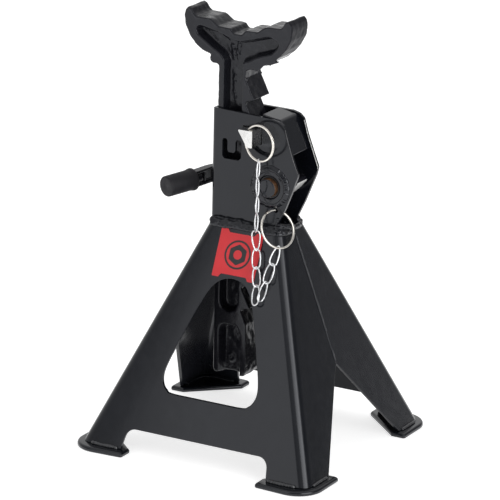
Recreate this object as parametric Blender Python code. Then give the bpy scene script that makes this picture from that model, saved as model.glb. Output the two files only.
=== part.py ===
# Ratcheting axle jack stand, heavy class: folded plate base, U-shaped column, cast ratchet bar
# with saddle, pawl on a crank-shaped handle, safety pin on a chain.
# Frame: origin on the floor at the centre of the base, +Z up, labelled face to -Y,
# toothed side of the bar to +X, handle to -X. Dimensions below are millimetres.
import bpy, bmesh, math
from mathutils import Vector, Matrix

MM = 0.001
GAP = 0.3                    # working gap kept between touching solids

# ---- base -------------------------------------------------------------------
PAD_T = 6.0                  # foot plate thickness
BASE_H = 275.0               # height of the folded base above the foot plates
BASE_X, BASE_Y = 162.0, 152.0    # outer half widths at the bottom
TOP_X, TOP_Y = 53.0, 33.5        # outer half widths at the top
PLATE_T = 4.5
BEND_R = 13.8                # outer radius of the long bends
SEAM = 0.2                   # half gap of the side seam
BAR_LOW, BAR_HIGH = 25.7, 73.9   # crossbar lower and upper edge (above foot plates)
LEG_IN = 102.8               # inner edge of a leg at the floor
SIDE_APEX = 112.0            # apex of the side V opening
SIDE_FOOT = 95.0             # half width of the side V opening at the floor

# ---- column -----------------------------------------------------------------
COL_T = 4.0
COL_Y = 24.75                # outer half width over the cheeks
COL_X = -53.0                # outer face of the web
PIV_X, PIV_Z = 31.4, 338.7   # pawl shaft axis
SHAFT_R = 12.0
HOLE_R = 14.3

# ---- ratchet bar ------------------------------------------------------------
BAR_Y = 20.4                 # half thickness over the flanges
BAR_L = -48.15               # smooth edge
ROOT_X, TIP_X = -10.0, 3.0
PITCH = 30.0
LEDGE0 = 470.0               # root height of the highest ledge
N_LEDGE = 11
LEDGE_RISE = 3.5
BAR_BOTTOM = 84.0
CX = -21.5                   # centre line of the saddle

# ---- safety pin and chain -----------------------------------------------------
PIN_Y0, PIN_Y1 = -41.75, 31.0
RING_WIRE = 1.3
LINK_WIRE = 1.0
LINK_W = 12.6
N_LINK = 11


def clear_scene():
    for o in list(bpy.data.objects):
        bpy.data.objects.remove(o, do_unlink=True)


def material(name, rgb, rough, metal=0.0):
    m = bpy.data.materials.new(name)
    m.use_nodes = True
    b = m.node_tree.nodes["Principled BSDF"]
    b.inputs["Base Color"].default_value = (rgb[0], rgb[1], rgb[2], 1.0)
    b.inputs["Roughness"].default_value = rough
    b.inputs["Metallic"].default_value = metal
    return m


def add_object(name, bm, mat, loc=(0, 0, 0), smooth=None, parent=None):
    bmesh.ops.recalc_face_normals(bm, faces=bm.faces)
    me = bpy.data.meshes.new(name)
    bm.to_mesh(me)
    bm.free()
    ob = bpy.data.objects.new(name, me)
    bpy.context.scene.collection.objects.link(ob)
    if mat is not None:
        me.materials.append(mat)
    if smooth is not None:
        me.shade_smooth()
        me.set_sharp_from_angle(angle=math.radians(smooth))
    ob.location = Vector(loc) * MM
    if parent is not None:
        ob.parent = parent
        ob.matrix_parent_inverse = Matrix.Identity(4)
        ob.location = Vector(loc) * MM - parent.location
    return ob


def helper(ob):
    ob.hide_render = True
    ob.display_type = 'WIRE'
    return ob


def boolean(ob, cutter, op='DIFFERENCE'):
    helper(cutter)
    m = ob.modifiers.new(op.lower() + "_" + cutter.name, 'BOOLEAN')
    m.operation = op
    m.solver = 'EXACT'
    m.object = cutter
    return m


def fillet(points, radii, seg=4):
    """Round the corners of a closed polygon; a radius of 0 keeps the corner."""
    out = []
    n = len(points)
    for i, p in enumerate(points):
        r = radii[i] if isinstance(radii, (list, tuple)) else radii
        p = Vector(p)
        a = Vector(points[i - 1]) - p
        b = Vector(points[(i + 1) % n]) - p
        if r <= 0:
            out.append((p.x, p.y))
            continue
        ua, ub = a.normalized(), b.normalized()
        ang = ua.angle(ub)
        d = r / math.tan(ang / 2)
        d = min(d, 0.49 * a.length, 0.49 * b.length)
        r = d * math.tan(ang / 2)
        t0, t1 = p + ua * d, p + ub * d
        c = p + (ua + ub).normalized() * (r / math.sin(ang / 2))
        a0 = math.atan2(t0.y - c.y, t0.x - c.x)
        a1 = math.atan2(t1.y - c.y, t1.x - c.x)
        da = (a1 - a0 + math.pi) % (2 * math.pi) - math.pi
        for k in range(seg + 1):
            t = a0 + da * k / seg
            out.append((c.x + r * math.cos(t), c.y + r * math.sin(t)))
    return out


def prism(points, lo, hi, axis):
    """Closed prism of a polygon. axis 'y': points are (x, z); 'x': (y, z); 'z': (x, y)."""
    bm = bmesh.new()

    def at(p, w):
        u, v = p
        c = {'y': (u, w, v), 'x': (w, u, v), 'z': (u, v, w)}[axis]
        return Vector(c) * MM
    a = [bm.verts.new(at(p, lo)) for p in points]
    b = [bm.verts.new(at(p, hi)) for p in points]
    bm.faces.new(a)
    bm.faces.new(list(reversed(b)))
    n = len(points)
    for i in range(n):
        j = (i + 1) % n
        bm.faces.new((a[j], a[i], b[i], b[j]))
    return bm


def circle(cx, cz, r, n, phase=0.0):
    return [(cx + r * math.cos(2 * math.pi * (i + phase) / n),
             cz + r * math.sin(2 * math.pi * (i + phase) / n)) for i in range(n)]


def turned(profile, n, closed_profile=True):
    """Turn a closed profile of (radius, height) round local Z."""
    bm = bmesh.new()
    rings = []
    for r, h in profile:
        if r < 1e-6:
            rings.append([bm.verts.new(Vector((0, 0, h)) * MM)])
        else:
            rings.append([bm.verts.new(Vector((r * math.cos(2 * math.pi * i / n),
                                               r * math.sin(2 * math.pi * i / n), h)) * MM)
                          for i in range(n)])
    m = len(rings)
    for k in range(m if closed_profile else m - 1):
        a, b = rings[k], rings[(k + 1) % m]
        if len(a) == 1 and len(b) == 1:
            continue
        for i in range(n):
            j = (i + 1) % n
            if len(a) == 1:
                bm.faces.new((a[0], b[j], b[i]))
            elif len(b) == 1:
                bm.faces.new((a[i], a[j], b[0]))
            else:
                bm.faces.new((a[i], a[j], b[j], b[i]))
    return bm


def sweep(path, section, ups):
    """Sweep a closed section (u, v) along a path; ups gives the v direction at each point."""
    bm = bmesh.new()
    rings = []
    n = len(path)
    for i, p in enumerate(path):
        p = Vector(p)
        t = (Vector(path[min(i + 1, n - 1)]) - Vector(path[max(i - 1, 0)])).normalized()
        up = Vector(ups)
        u = t.cross(up).normalized()
        v = u.cross(t).normalized()
        rings.append([bm.verts.new((p + u * a + v * b) * MM) for a, b in section])
    m = len(section)
    for k in range(n - 1):
        for i in range(m):
            j = (i + 1) % m
            bm.faces.new((rings[k][i], rings[k][j], rings[k + 1][j], rings[k + 1][i]))
    bm.faces.new(rings[0])
    bm.faces.new(list(reversed(rings[-1])))
    return bm


def tube_loop(centre, points, wire, sides):
    """Closed wire through a closed list of points lying in one plane."""
    bm = bmesh.new()
    pts = [Vector(p) for p in points]
    n = len(pts)
    normal = Vector((0, 0, 0))
    c = Vector(centre)
    for i in range(n):
        normal += (pts[i] - c).cross(pts[(i + 1) % n] - c)
    normal.normalize()
    rings = []
    for i in range(n):
        t = (pts[(i + 1) % n] - pts[i - 1]).normalized()
        out = t.cross(normal).normalized()
        rings.append([bm.verts.new((pts[i] + out * (wire * math.cos(2 * math.pi * (k + .5) / sides))
                                    + normal * (wire * math.sin(2 * math.pi * (k + .5) / sides))) * MM)
                      for k in range(sides)])
    for i in range(n):
        a, b = rings[i], rings[(i + 1) % n]
        for k in range(sides):
            l = (k + 1) % sides
            bm.faces.new((a[k], a[l], b[l], b[k]))
    return bm


clear_scene()
PAINT = (0.016, 0.017, 0.019)
mat_paint = material("black_paint", PAINT, 0.38)
mat_cast = material("black_cast", (0.014, 0.014, 0.016), 0.5)
mat_weld = material("painted_weld", (0.017, 0.018, 0.02), 0.42)
mat_zinc = material("bright_zinc", (0.72, 0.73, 0.75), 0.28, 1.0)
mat_rust = material("bare_bush", (0.22, 0.10, 0.04), 0.6, 0.6)
mat_rubber = material("black_rubber", (0.022, 0.022, 0.024), 0.75)
mat_label = material("red_label", (0.62, 0.015, 0.02), 0.4)

# =============================== base =========================================


def base_x(h):
    return BASE_X + (TOP_X - BASE_X) * h / BASE_H


def base_y(h):
    return BASE_Y + (TOP_Y - BASE_Y) * h / BASE_H


def base_path(h, inset):
    """Half of the base's rounded rectangle at height h, from the left seam round to the right one."""
    x, y = base_x(h), base_y(h)
    r = BEND_R - inset
    cx, cy = x - BEND_R, y - BEND_R
    pts = [(-(x - inset), -SEAM)]
    for k in range(5):
        t = math.pi + (math.pi / 2) * k / 4
        pts.append((-cx + r * math.cos(t), -cy + r * math.sin(t)))
    for k in range(5):
        t = 1.5 * math.pi + (math.pi / 2) * k / 4
        pts.append((cx + r * math.cos(t), -cy + r * math.sin(t)))
    pts.append((x - inset, -SEAM))
    return pts


def base_half(side):
    bm = bmesh.new()
    z0, z1 = PAD_T + GAP, PAD_T + BASE_H
    rows = {}
    for key, h, z in (("b", GAP, z0), ("t", BASE_H, z1)):
        for lab, inset in (("o", 0.0), ("i", PLATE_T)):
            rows[key + lab] = [bm.verts.new(Vector((p[0], p[1] * side, z)) * MM)
                               for p in base_path(h, inset)]
    n = len(rows["bo"])
    for i in range(n - 1):
        bm.faces.new((rows["bo"][i], rows["bo"][i + 1], rows["to"][i + 1], rows["to"][i]))
        bm.faces.new((rows["bi"][i + 1], rows["bi"][i], rows["ti"][i], rows["ti"][i + 1]))
        bm.faces.new((rows["to"][i], rows["to"][i + 1], rows["ti"][i + 1], rows["ti"][i]))
        bm.faces.new((rows["bo"][i + 1], rows["bo"][i], rows["bi"][i], rows["bi"][i + 1]))
    for i in (0, n - 1):
        bm.faces.new((rows["bo"][i], rows["to"][i], rows["ti"][i], rows["bi"][i]))
    return bm


# window: flat sill, bulging lower corners, sides that lean in, round top
window_half = [(43.0, 0.0), (58.0, 3.5), (65.0, 11.5), (66.8, 22.0), (63.5, 37.0), (55.5, 60.0),
               (48.0, 81.0), (41.0, 100.0), (33.6, 117.0), (26.5, 129.5), (18.5, 137.5),
               (9.5, 141.6), (0.0, 142.8)]
win = [(x, PAD_T + BAR_HIGH + z) for x, z in window_half]
win += [(-x, z) for x, z in reversed(win[:-1])]

# gap under the crossbar between the legs
zb = PAD_T + BAR_LOW
under = fillet([(-LEG_IN - 1.6, PAD_T - 4), (-LEG_IN + 3.2, zb), (LEG_IN - 3.2, zb), (LEG_IN + 1.6, PAD_T - 4)],
               [0, 14.0, 14.0, 0], 5)
# V opening of each side
side_v = fillet([(-SIDE_FOOT * 1.03, PAD_T - 3.4), (0.0, PAD_T + SIDE_APEX), (SIDE_FOOT * 1.03, PAD_T - 3.4)],
                [0, 5.0, 0], 4)

plates = {}
for name, side in (("front_frame_plate", 1), ("rear_frame_plate", -1)):
    ob = add_object(name, base_half(side), mat_paint, smooth=35)
    tag = name.split("_")[0]
    y0, y1 = (-175.0, -8.0) if side > 0 else (8.0, 175.0)
    boolean(ob, add_object("cut_window_" + tag, prism(win, y0, y1, 'y'), None))
    boolean(ob, add_object("cut_under_" + tag, prism(under, y0, y1, 'y'), None))
    boolean(ob, add_object("cut_side_" + tag, prism(side_v, -185.0, 185.0, 'x'), None))
    plates[name] = ob

# foot plates: five-sided, rounded outer corner, rim sloping at its edge
FOOT = [(95.0, 164.0), (95.0, 143.0), (153.5, 88.5), (172.5, 88.5), (172.5, 168.5)]
FOOT_R = [3.0, 4.0, 4.0, 3.0, 34.0]


def inset_polygon(points, d):
    """Move every edge of a convex polygon inwards by d."""
    n = len(points)
    c = sum((Vector(p) for p in points), Vector((0, 0))) / n
    lines = []
    for i in range(n):
        a, b = Vector(points[i]), Vector(points[(i + 1) % n])
        t = (b - a).normalized()
        nn = Vector((-t.y, t.x))
        if nn.dot(c - a) < 0:
            nn = -nn
        lines.append((a + nn * d, t))
    out = []
    for i in range(n):
        (p, t), (q, s) = lines[i - 1], lines[i]
        den = t.x * s.y - t.y * s.x
        k = ((q.x - p.x) * s.y - (q.y - p.y) * s.x) / den
        out.append((p.x + t.x * k, p.y + t.y * k))
    return out


def foot_mesh(sx, sy):
    bm = bmesh.new()
    rows = []
    for z, d in ((0.0, 0.8), (0.8, 0.0), (3.4, 0.0), (PAD_T, 2.2)):
        pts = fillet(inset_polygon(FOOT, d), [max(0.6, r - d * (1 if r > 10 else 0)) for r in FOOT_R], 6)
        rows.append([bm.verts.new(Vector((x * sx, y * sy, z)) * MM) for x, y in pts])
    n = len(rows[0])
    for a, b in zip(rows, rows[1:]):
        for i in range(n):
            j = (i + 1) % n
            bm.faces.new((a[i], a[j], b[j], b[i]))
    bm.faces.new(rows[0])
    bm.faces.new(list(reversed(rows[-1])))
    return bm


for label, sx, sy in (("front_left", -1, -1), ("front_right", 1, -1), ("rear_left", -1, 1), ("rear_right", 1, 1)):
    add_object("foot_pad_" + label, foot_mesh(sx, sy), mat_paint)

# =============================== column =======================================
Z_TOPFRAME = PAD_T + BASE_H          # 281
COL_BOT = 247.0
cheek = [(-46.0, COL_BOT), (-46.0, Z_TOPFRAME + GAP), (COL_X, Z_TOPFRAME + GAP), (COL_X, 428.4), (34.0, 425.0),
         (42.5, 423.0), (49.0, 418.6), (54.6, 399.8), (62.3, 378.2), (70.3, 358.5), (66.9, 349.5),
         (61.7, 334.0), (53.4, 313.0), (45.7, 297.0), (41.0, Z_TOPFRAME + GAP), (41.0, COL_BOT)]
cheek_r = [2.0, 0, 0, 3.0, 0, 6.0, 6.0, 0, 0, 7.0, 0, 0, 0, 0, 0, 2.0]

r_out, r_in = 6.0, 2.0
u_sec = [(82.0, -COL_Y), (82.0, -COL_Y + COL_T)]
for k in range(4):
    t = 1.5 * math.pi - (math.pi / 2) * k / 3
    u_sec.append((COL_X + r_out + r_in * math.cos(t), -COL_Y + r_out + r_in * math.sin(t)))
for k in range(4):
    t = math.pi - (math.pi / 2) * k / 3
    u_sec.append((COL_X + r_out + r_in * math.cos(t), COL_Y - r_out + r_in * math.sin(t)))
u_sec += [(82.0, COL_Y - COL_T), (82.0, COL_Y)]
for k in range(5):
    t = math.pi / 2 + (math.pi / 2) * k / 4
    u_sec.append((COL_X + r_out + r_out * math.cos(t), COL_Y - r_out + r_out * math.sin(t)))
for k in range(5):
    t = math.pi + (math.pi / 2) * k / 4
    u_sec.append((COL_X + r_out + r_out * math.cos(t), -COL_Y + r_out + r_out * math.sin(t)))
# the inner bend has radius 2: shift its centre so the plate keeps its thickness
col = add_object("column_channel", prism(u_sec, 240.0, 435.0, 'z'), mat_paint, smooth=35)
# the rear cheek is cut a little fuller than the front one on the toothed side
rear_cheek = cheek[:4] + [(36.0, 427.2), (45.2, 424.8), (51.4, 419.6), (57.4, 400.2), (66.0, 378.2), (73.6, 359.5),
                          (71.0, 349.0), (64.8, 334.0), (56.4, 313.0), (48.8, 297.0)] + cheek[14:]
boolean(col, add_object("keep_cheek", prism(fillet(rear_cheek, cheek_r, 4), -60.0, 60.0, 'y'), None), 'INTERSECT')
trim = [(-40.0, 440.0), (-40.0, 427.89)] + cheek[4:14] + [(41.0, Z_TOPFRAME + GAP), (95.0, Z_TOPFRAME + GAP), (95.0, 440.0)]
trim_r = [0, 0] + cheek_r[4:14] + [0, 0, 0]
boolean(col, add_object("cut_front_cheek", prism(fillet(trim, trim_r, 4), -60.0, -10.0, 'y'), None))

# U-shaped slot in the front cheek, leaving a tongue
slot = [(-37.5, 368.5), (-34.5, 365.0), (-14.5, 365.0), (-10.4, 369.0), (-10.4, 388.0), (-12.0, 391.0),
        (-17.0, 391.0), (-18.8, 388.0), (-18.8, 377.0), (-20.8, 374.0), (-28.6, 374.0), (-30.2, 377.0),
        (-30.2, 388.0), (-31.6, 391.0), (-36.2, 391.0), (-37.5, 388.5)]
boolean(col, add_object("cut_tongue_slot", prism(slot, -32.0, -16.0, 'y'), None))

# keyhole: round opening with a square-cornered side pocket for the pin
KEY_X, KEY_Z, KEY_R = 22.4, 399.2, 21.5
key = []
for k in range(29):
    t = math.radians(163.0) - math.radians(163.0 + 134.0) * k / 28
    key.append((KEY_X + KEY_R * math.cos(t), KEY_Z + KEY_R * math.sin(t)))
key = [p for p in key if not (p[0] < 4.0 and 384.0 < p[1] < 411.9)]
first, last = key[0], key[-1]
key_poly = [(-8.9, 411.9)] + [p for p in key if not (p[0] < 6.0 and p[1] > 411.9)] + [(3.6, 384.0), (-8.9, 405.0)]
boolean(col, add_object("cut_keyhole", prism(key_poly, -60.0, 60.0, 'y'), None))
boolean(col, add_object("cut_pivot", prism(circle(PIV_X, PIV_Z, HOLE_R, 32), -60.0, 60.0, 'y'), None))
ANC = (40.2, 309.7)
boolean(col, add_object("cut_anchor", prism(circle(ANC[0], ANC[1], 3.2, 12), -60.0, 0.0, 'y'), None))

# heavy beads between the column and the base
for label, s in (("front", -1), ("rear", 1)):
    y_in, y_out = s * (COL_Y + GAP), s * (TOP_Y - 0.2)
    prof = [(y_in, Z_TOPFRAME + GAP), (y_out, Z_TOPFRAME + GAP), (y_out - s * 0.8, Z_TOPFRAME + 3.4),
            (y_out - s * 4.4, Z_TOPFRAME + 6.9), (y_in, Z_TOPFRAME + 8.6)]
    add_object("column_weld_" + label, prism(prof, -50.0, 43.5, 'x'), mat_weld, smooth=50)

# bent plate between the cheeks, closing the top and the toothed side
outer = [(16.0, 428.2), (43.2, 424.4), (60.6, 382.4)]
inner = [(55.9, 380.6), (39.6, 419.9), (16.0, 423.2)]
cover_poly = fillet(outer + inner, [0, 7.0, 0, 0, 2.5, 0], 4)
add_object("cover_plate", prism(cover_poly, -(COL_Y - COL_T - GAP), COL_Y - COL_T - GAP, 'y'), mat_paint, smooth=35)

# pin guides: cups welded inside each cheek behind the keyhole, with the pin's own opening
PIN_SEC = [(-7.0, 410.5), (13.7, 410.5), (13.7, 389.0), (6.4, 389.0)]
for label, s in (("front", -1), ("rear", 1)):
    prof = [(22.3, 0.0), (22.3, 5.8), (0.0, 5.8), (0.0, 3.0), (19.8, 3.0), (19.8, 0.0)]
    guide = add_object("pin_guide_" + label, turned(prof, 28, closed_profile=True), mat_paint,
                       loc=(KEY_X, s * (COL_Y - COL_T - GAP), KEY_Z), smooth=35)
    guide.rotation_euler = (math.radians(90.0) * s, 0.0, 0.0)
    cut = add_object("cut_guide_edge_" + label, prism([(-5.0, 370.0), (4.3, 370.0), (4.3, 430.0), (-5.0, 430.0)],
                                                       -30.0, 30.0, 'y'), None)
    boolean(guide, cut)
    hole = [(2.0, 411.0), (14.2, 411.0), (14.2, 388.5), (2.0, 388.5)]
    boolean(guide, add_object("cut_guide_pin_" + label, prism(hole, -30.0, 30.0, 'y'), None))

# =============================== pawl group ===================================
pivot = bpy.data.objects.new("pawl_axis", None)
bpy.context.scene.collection.objects.link(pivot)
pivot.location = Vector((PIV_X, 0.0, PIV_Z)) * MM

for label, s in (("front", -1), ("rear", 1)):
    prof = [(HOLE_R + 0.1, 0.0), (26.0, 0.0), (24.6, 1.4), (22.6, 2.4), (21.4, 3.6), (HOLE_R + 0.9, 3.6),
            (HOLE_R + 0.1, 2.8)]
    boss = add_object("pivot_boss_" + label, turned(prof, 32), mat_weld,
                      loc=(PIV_X, s * (COL_Y + GAP), PIV_Z), smooth=40)
    boss.rotation_euler = (math.radians(-90.0) * s, 0.0, 0.0)
    prof = [(SHAFT_R + 0.35, 0.0), (HOLE_R - 0.3, 0.0), (HOLE_R - 0.3, 5.4), (HOLE_R - 0.7, 5.9),
            (SHAFT_R + 0.75, 5.9), (SHAFT_R + 0.35, 5.4)]
    bush = add_object("shaft_bush_" + label, turned(prof, 32), mat_rust,
                      loc=(PIV_X, s * 20.9, PIV_Z), smooth=40)
    bush.rotation_euler = (math.radians(-90.0) * s, 0.0, 0.0)

shaft_prof = [(0.0, 0.0), (SHAFT_R - 1.0, 0.0), (SHAFT_R, 1.0), (SHAFT_R, 76.4), (SHAFT_R - 1.0, 77.4), (0.0, 77.4)]
shaft = add_object("pawl_shaft", turned(shaft_prof, 32, closed_profile=False), mat_paint,
                   loc=(PIV_X, -28.9, PIV_Z), smooth=40, parent=pivot)
shaft.rotation_euler = (math.radians(-90.0), 0.0, 0.0)

# pawl: hub, nose under the teeth and short tail, nose radius 52 about the shaft
nose = fillet([(4.2, 383.0), (8.0, 366.0), (14.4, 345.0), (16.0, 322.0), (44.0, 324.0), (52.5, 331.5), (64.0, 344.5),
               (60.5, 349.0), (46.0, 352.0), (32.0, 364.0), (18.0, 381.6)],
              [0.8, 3.0, 0, 12.0, 8.0, 0, 2.0, 2.5, 6.0, 8.0, 3.0], 3)
pawl = add_object("pawl", prism([(x - PIV_X, z - PIV_Z) for x, z in nose], -12.5, 12.5, 'y'), mat_cast,
                  loc=(PIV_X, 0.0, PIV_Z), smooth=35, parent=pivot)
hub = add_object("pawl_hub", prism(circle(0.0, 0.0, 19.0, 32), -20.2, 20.2, 'y'), None, loc=(PIV_X, 0.0, PIV_Z), parent=pivot)
boolean(pawl, hub, 'UNION')
bore = add_object("cut_pawl_bore", prism(circle(0.0, 0.0, SHAFT_R + 0.35, 32), -30.0, 30.0, 'y'), None,
                  loc=(PIV_X, 0.0, PIV_Z), parent=pivot)
boolean(pawl, bore)

# handle: cast H-section lever from the rear end of the shaft, round the column's left side
GRIP_DIR = Vector((-0.3527, -0.9337, -0.0625)).normalized()
RIM = Vector((-93.4, 0.0, 322.7))                 # centre of the grip's inner end
LEV_Y = 37.0
BEND_C = Vector((-64.0, LEV_Y - 22.0, 0.0))
route = [Vector((18.0, LEV_Y, 0)), Vector((-12.0, LEV_Y, 0)), Vector((-40.0, LEV_Y, 0)), Vector((-64.0, LEV_Y, 0))]
head1 = math.degrees(math.atan2(GRIP_DIR.y, GRIP_DIR.x)) % 360.0
for k in range(1, 8):
    a = math.radians(180.0 + (head1 - 180.0) * k / 7 - 90.0)
    route.append(BEND_C + Vector((22.0 * math.cos(a), 22.0 * math.sin(a), 0)))
flat = Vector((GRIP_DIR.x, GRIP_DIR.y, 0)).normalized()
bend_end = Vector(route[-1])
rim_flat = Vector((RIM.x, RIM.y, 0))
route.append(bend_end + (rim_flat - bend_end) * 0.5)
route.append(rim_flat - flat * 1.4)
length = [0.0]
for a, b in zip(route, route[1:]):
    length.append(length[-1] + (b - a).length)
z_start, z_end = PIV_Z - 1.0, RIM.z
lever_path = [(p.x - PIV_X, p.y, z_start + (z_end - z_start) * (length[i] / length[-1]) - PIV_Z)
              for i, p in enumerate(route)]
HW, HH, FL, WEB = 6.0, 10.2, 3.2, 2.0             # half width, half height, flange, half web
h_sec = [(-HW, -HH), (HW, -HH), (HW, -HH + FL), (WEB + 1.0, -HH + FL + 0.6), (WEB, -HH + FL + 2.0),
         (WEB, HH - FL - 2.0), (WEB + 1.0, HH - FL - 0.6), (HW, HH - FL), (HW, HH), (-HW, HH), (-HW, HH - FL),
         (-WEB - 1.0, HH - FL - 0.6), (-WEB, HH - FL - 2.0), (-WEB, -HH + FL + 2.0),
         (-WEB - 1.0, -HH + FL + 0.6), (-HW, -HH + FL)]
lever = add_object("handle_lever", sweep(lever_path, h_sec, (0, 0, 1)), mat_cast, loc=(PIV_X, 0.0, PIV_Z),
                   smooth=35, parent=pivot)
lhub = add_object("lever_hub", prism(circle(0.0, 0.0, 19.5, 32), 29.4, 45.0, 'y'), None, loc=(PIV_X, 0.0, PIV_Z), parent=pivot)
boolean(lever, lhub, 'UNION')
# cross rib between the flanges, and the round tang inside the grip
rib_c = bend_end + (rim_flat - bend_end) * 0.35
rib_side = Vector((flat.y, -flat.x, 0))
rib_pts = [rib_c + flat * a + rib_side * b for a, b in ((-1.6, -5.2), (1.6, -5.2), (1.6, 5.2), (-1.6, 5.2))]
rib = add_object("lever_rib", prism([(p.x, p.y) for p in rib_pts], 315.5, 332.5, 'z'), None)
rib.parent = pivot
rib.location = -pivot.location
boolean(lever, rib, 'UNION')
tang = add_object("lever_tang", turned([(0, -12.0), (6.8, -12.0), (6.8, 29.0), (5.8, 30.0), (0, 30.0)], 16, False), None)
tang.parent = pivot
tang.rotation_mode = 'QUATERNION'
tang.rotation_quaternion = GRIP_DIR.to_track_quat('Z', 'Y')
tang.location = RIM * MM - pivot.location
boolean(lever, tang, 'UNION')
boolean(lever, add_object("cut_lever_bore", prism(circle(0.0, 0.0, SHAFT_R + 0.35, 32), 20.0, 60.0, 'y'), None,
                          loc=(PIV_X, 0.0, PIV_Z), parent=pivot))
# roll pin through the lever's hub and the shaft
KEY_PIN_Y = 38.0
kp = add_object("handle_roll_pin", turned([(0, -21.0), (1.9, -21.0), (2.5, -20.4), (2.5, 20.4), (1.9, 21.0), (0, 21.0)], 12, False),
                mat_zinc, loc=(PIV_X, KEY_PIN_Y, PIV_Z), smooth=40, parent=pivot)
kp_hole = add_object("cut_roll_pin", turned([(0, -40.0), (2.85, -40.0), (2.85, 40.0), (0, 40.0)], 12, False), None,
                     loc=(PIV_X, KEY_PIN_Y, PIV_Z), parent=pivot)
for o in (lever, shaft):
    boolean(o, kp_hole)

# rubber grip with a flared collar and a blind bore for the tang
GRIP_L, GRIP_R = 43.0, 13.35
g_prof = [(7.15, 0.0), (14.3, 0.0), (14.5, 1.0), (14.4, 3.0), (13.6, 5.5), (GRIP_R, 9.0), (GRIP_R, GRIP_L - 1.6),
          (GRIP_R - 0.6, GRIP_L - 0.4), (GRIP_R - 2.0, GRIP_L), (0.0, GRIP_L), (0.0, 31.0), (7.15, 31.0)]
grip = add_object("handle_grip", turned(g_prof, 32, True), mat_rubber, smooth=40)
grip.parent = pivot
grip.rotation_mode = 'QUATERNION'
grip.rotation_quaternion = GRIP_DIR.to_track_quat('Z', 'Y')
grip.location = RIM * MM - pivot.location

# =============================== ratchet bar ==================================
ledges = [LEDGE0 - PITCH * k for k in range(N_LEDGE)]       # 470 ... 170


def bar_outline():
    """Side outline of the cast bar, saddle included, anticlockwise from the bottom left."""
    p = [(BAR_L + 4.0, BAR_BOTTOM - 2.0), (BAR_L, BAR_BOTTOM + 3.0), (BAR_L, 481.0), (-49.8, 482.9), (-56.8, 483.3),
         (-59.7, 485.8), (-60.5, 489.8), (-58.9, 493.4), (-61.8, 494.4)]
    # underside of the left arm, horn, saddle line, right horn, underside of the right arm
    arm = [(38.0, 492.6), (50.0, 497.2), (60.0, 504.2), (68.0, 513.5), (74.5, 526.0), (76.2, 538.5),
           (74.8, 545.5), (71.0, 549.8), (66.0, 547.8), (62.0, 541.5), (58.5, 538.9), (40.0, 538.6), (36.5, 537.0),
           (27.5, 530.6), (10.5, 530.0), (5.5, 524.0)]
    p += [(CX - u, z) for u, z in arm[1:]]
    p += [(CX + u, z) for u, z in reversed(arm[2:])]
    p += [(CX + 50.0, 495.2), (CX + 36.0, 489.6), (CX + 29.5, 484.8)]
    # teeth from the highest ledge down: ledge root, tip, tooth face to the next root
    p.append((ROOT_X + 1.2, 480.0))
    p.append((ROOT_X, LEDGE0))
    for k, z in enumerate(ledges):
        if k > 0:
            p.append((TIP_X + 0.35, z + LEDGE_RISE))
            p.append((ROOT_X, z))
    low = ledges[-1]
    # below the last ledge the toothed edge runs straight down to a plain foot
    p += [(-1.8, low - 18.5), (-1.0, BAR_BOTTOM + 4.0), (-3.5, BAR_BOTTOM - 1.5), (-12.0, BAR_BOTTOM - 2.5),
          (-20.0, BAR_BOTTOM - 1.0), (-30.0, BAR_BOTTOM - 0.5), (-38.0, BAR_BOTTOM - 1.5)]
    return p


bar = add_object("ratchet_bar", prism(bar_outline(), -BAR_Y, BAR_Y, 'y'), mat_cast, smooth=30)


def pocket(name, outline, side, depth, draft):
    """Cast pocket from one side face, narrowing with depth."""
    pts = [Vector(p) for p in outline]
    c = sum(pts, Vector((0, 0))) / len(pts)
    inner_pts = [Vector(p) for p in inset_general(outline, draft)]
    bm = bmesh.new()
    y_out, y_in = side * (BAR_Y + 4.0), side * (BAR_Y - depth)
    scale_out = inset_general(outline, -draft * 4.0 / depth)
    a = [bm.verts.new(Vector((q[0], y_out, q[1])) * MM) for q in scale_out]
    b = [bm.verts.new(Vector((q.x, y_in, q.y)) * MM) for q in inner_pts]
    bm.faces.new(a)
    bm.faces.new(list(reversed(b)))
    n = len(a)
    for i in range(n):
        j = (i + 1) % n
        bm.faces.new((a[j], a[i], b[i], b[j]))
    return add_object(name, bm, None)


def inset_general(points, d):
    """Offset a closed polygon inwards by d by moving its corners along their bisectors."""
    n = len(points)
    area = sum(points[i][0] * points[(i + 1) % n][1] - points[(i + 1) % n][0] * points[i][1] for i in range(n))
    sgn = 1.0 if area > 0 else -1.0
    out = []
    for i in range(n):
        p0, p1, p2 = Vector(points[i - 1]), Vector(points[i]), Vector(points[(i + 1) % n])
        t0, t1 = (p1 - p0).normalized(), (p2 - p1).normalized()
        n0, n1 = Vector((-t0.y, t0.x)) * sgn, Vector((-t1.y, t1.x)) * sgn
        m = (n0 + n1)
        if m.length < 1e-6:
            m = n0
        m.normalize()
        k = d / max(0.45, m.dot(n0))
        out.append((p1.x + m.x * k, p1.y + m.y * k))
    return out


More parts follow.
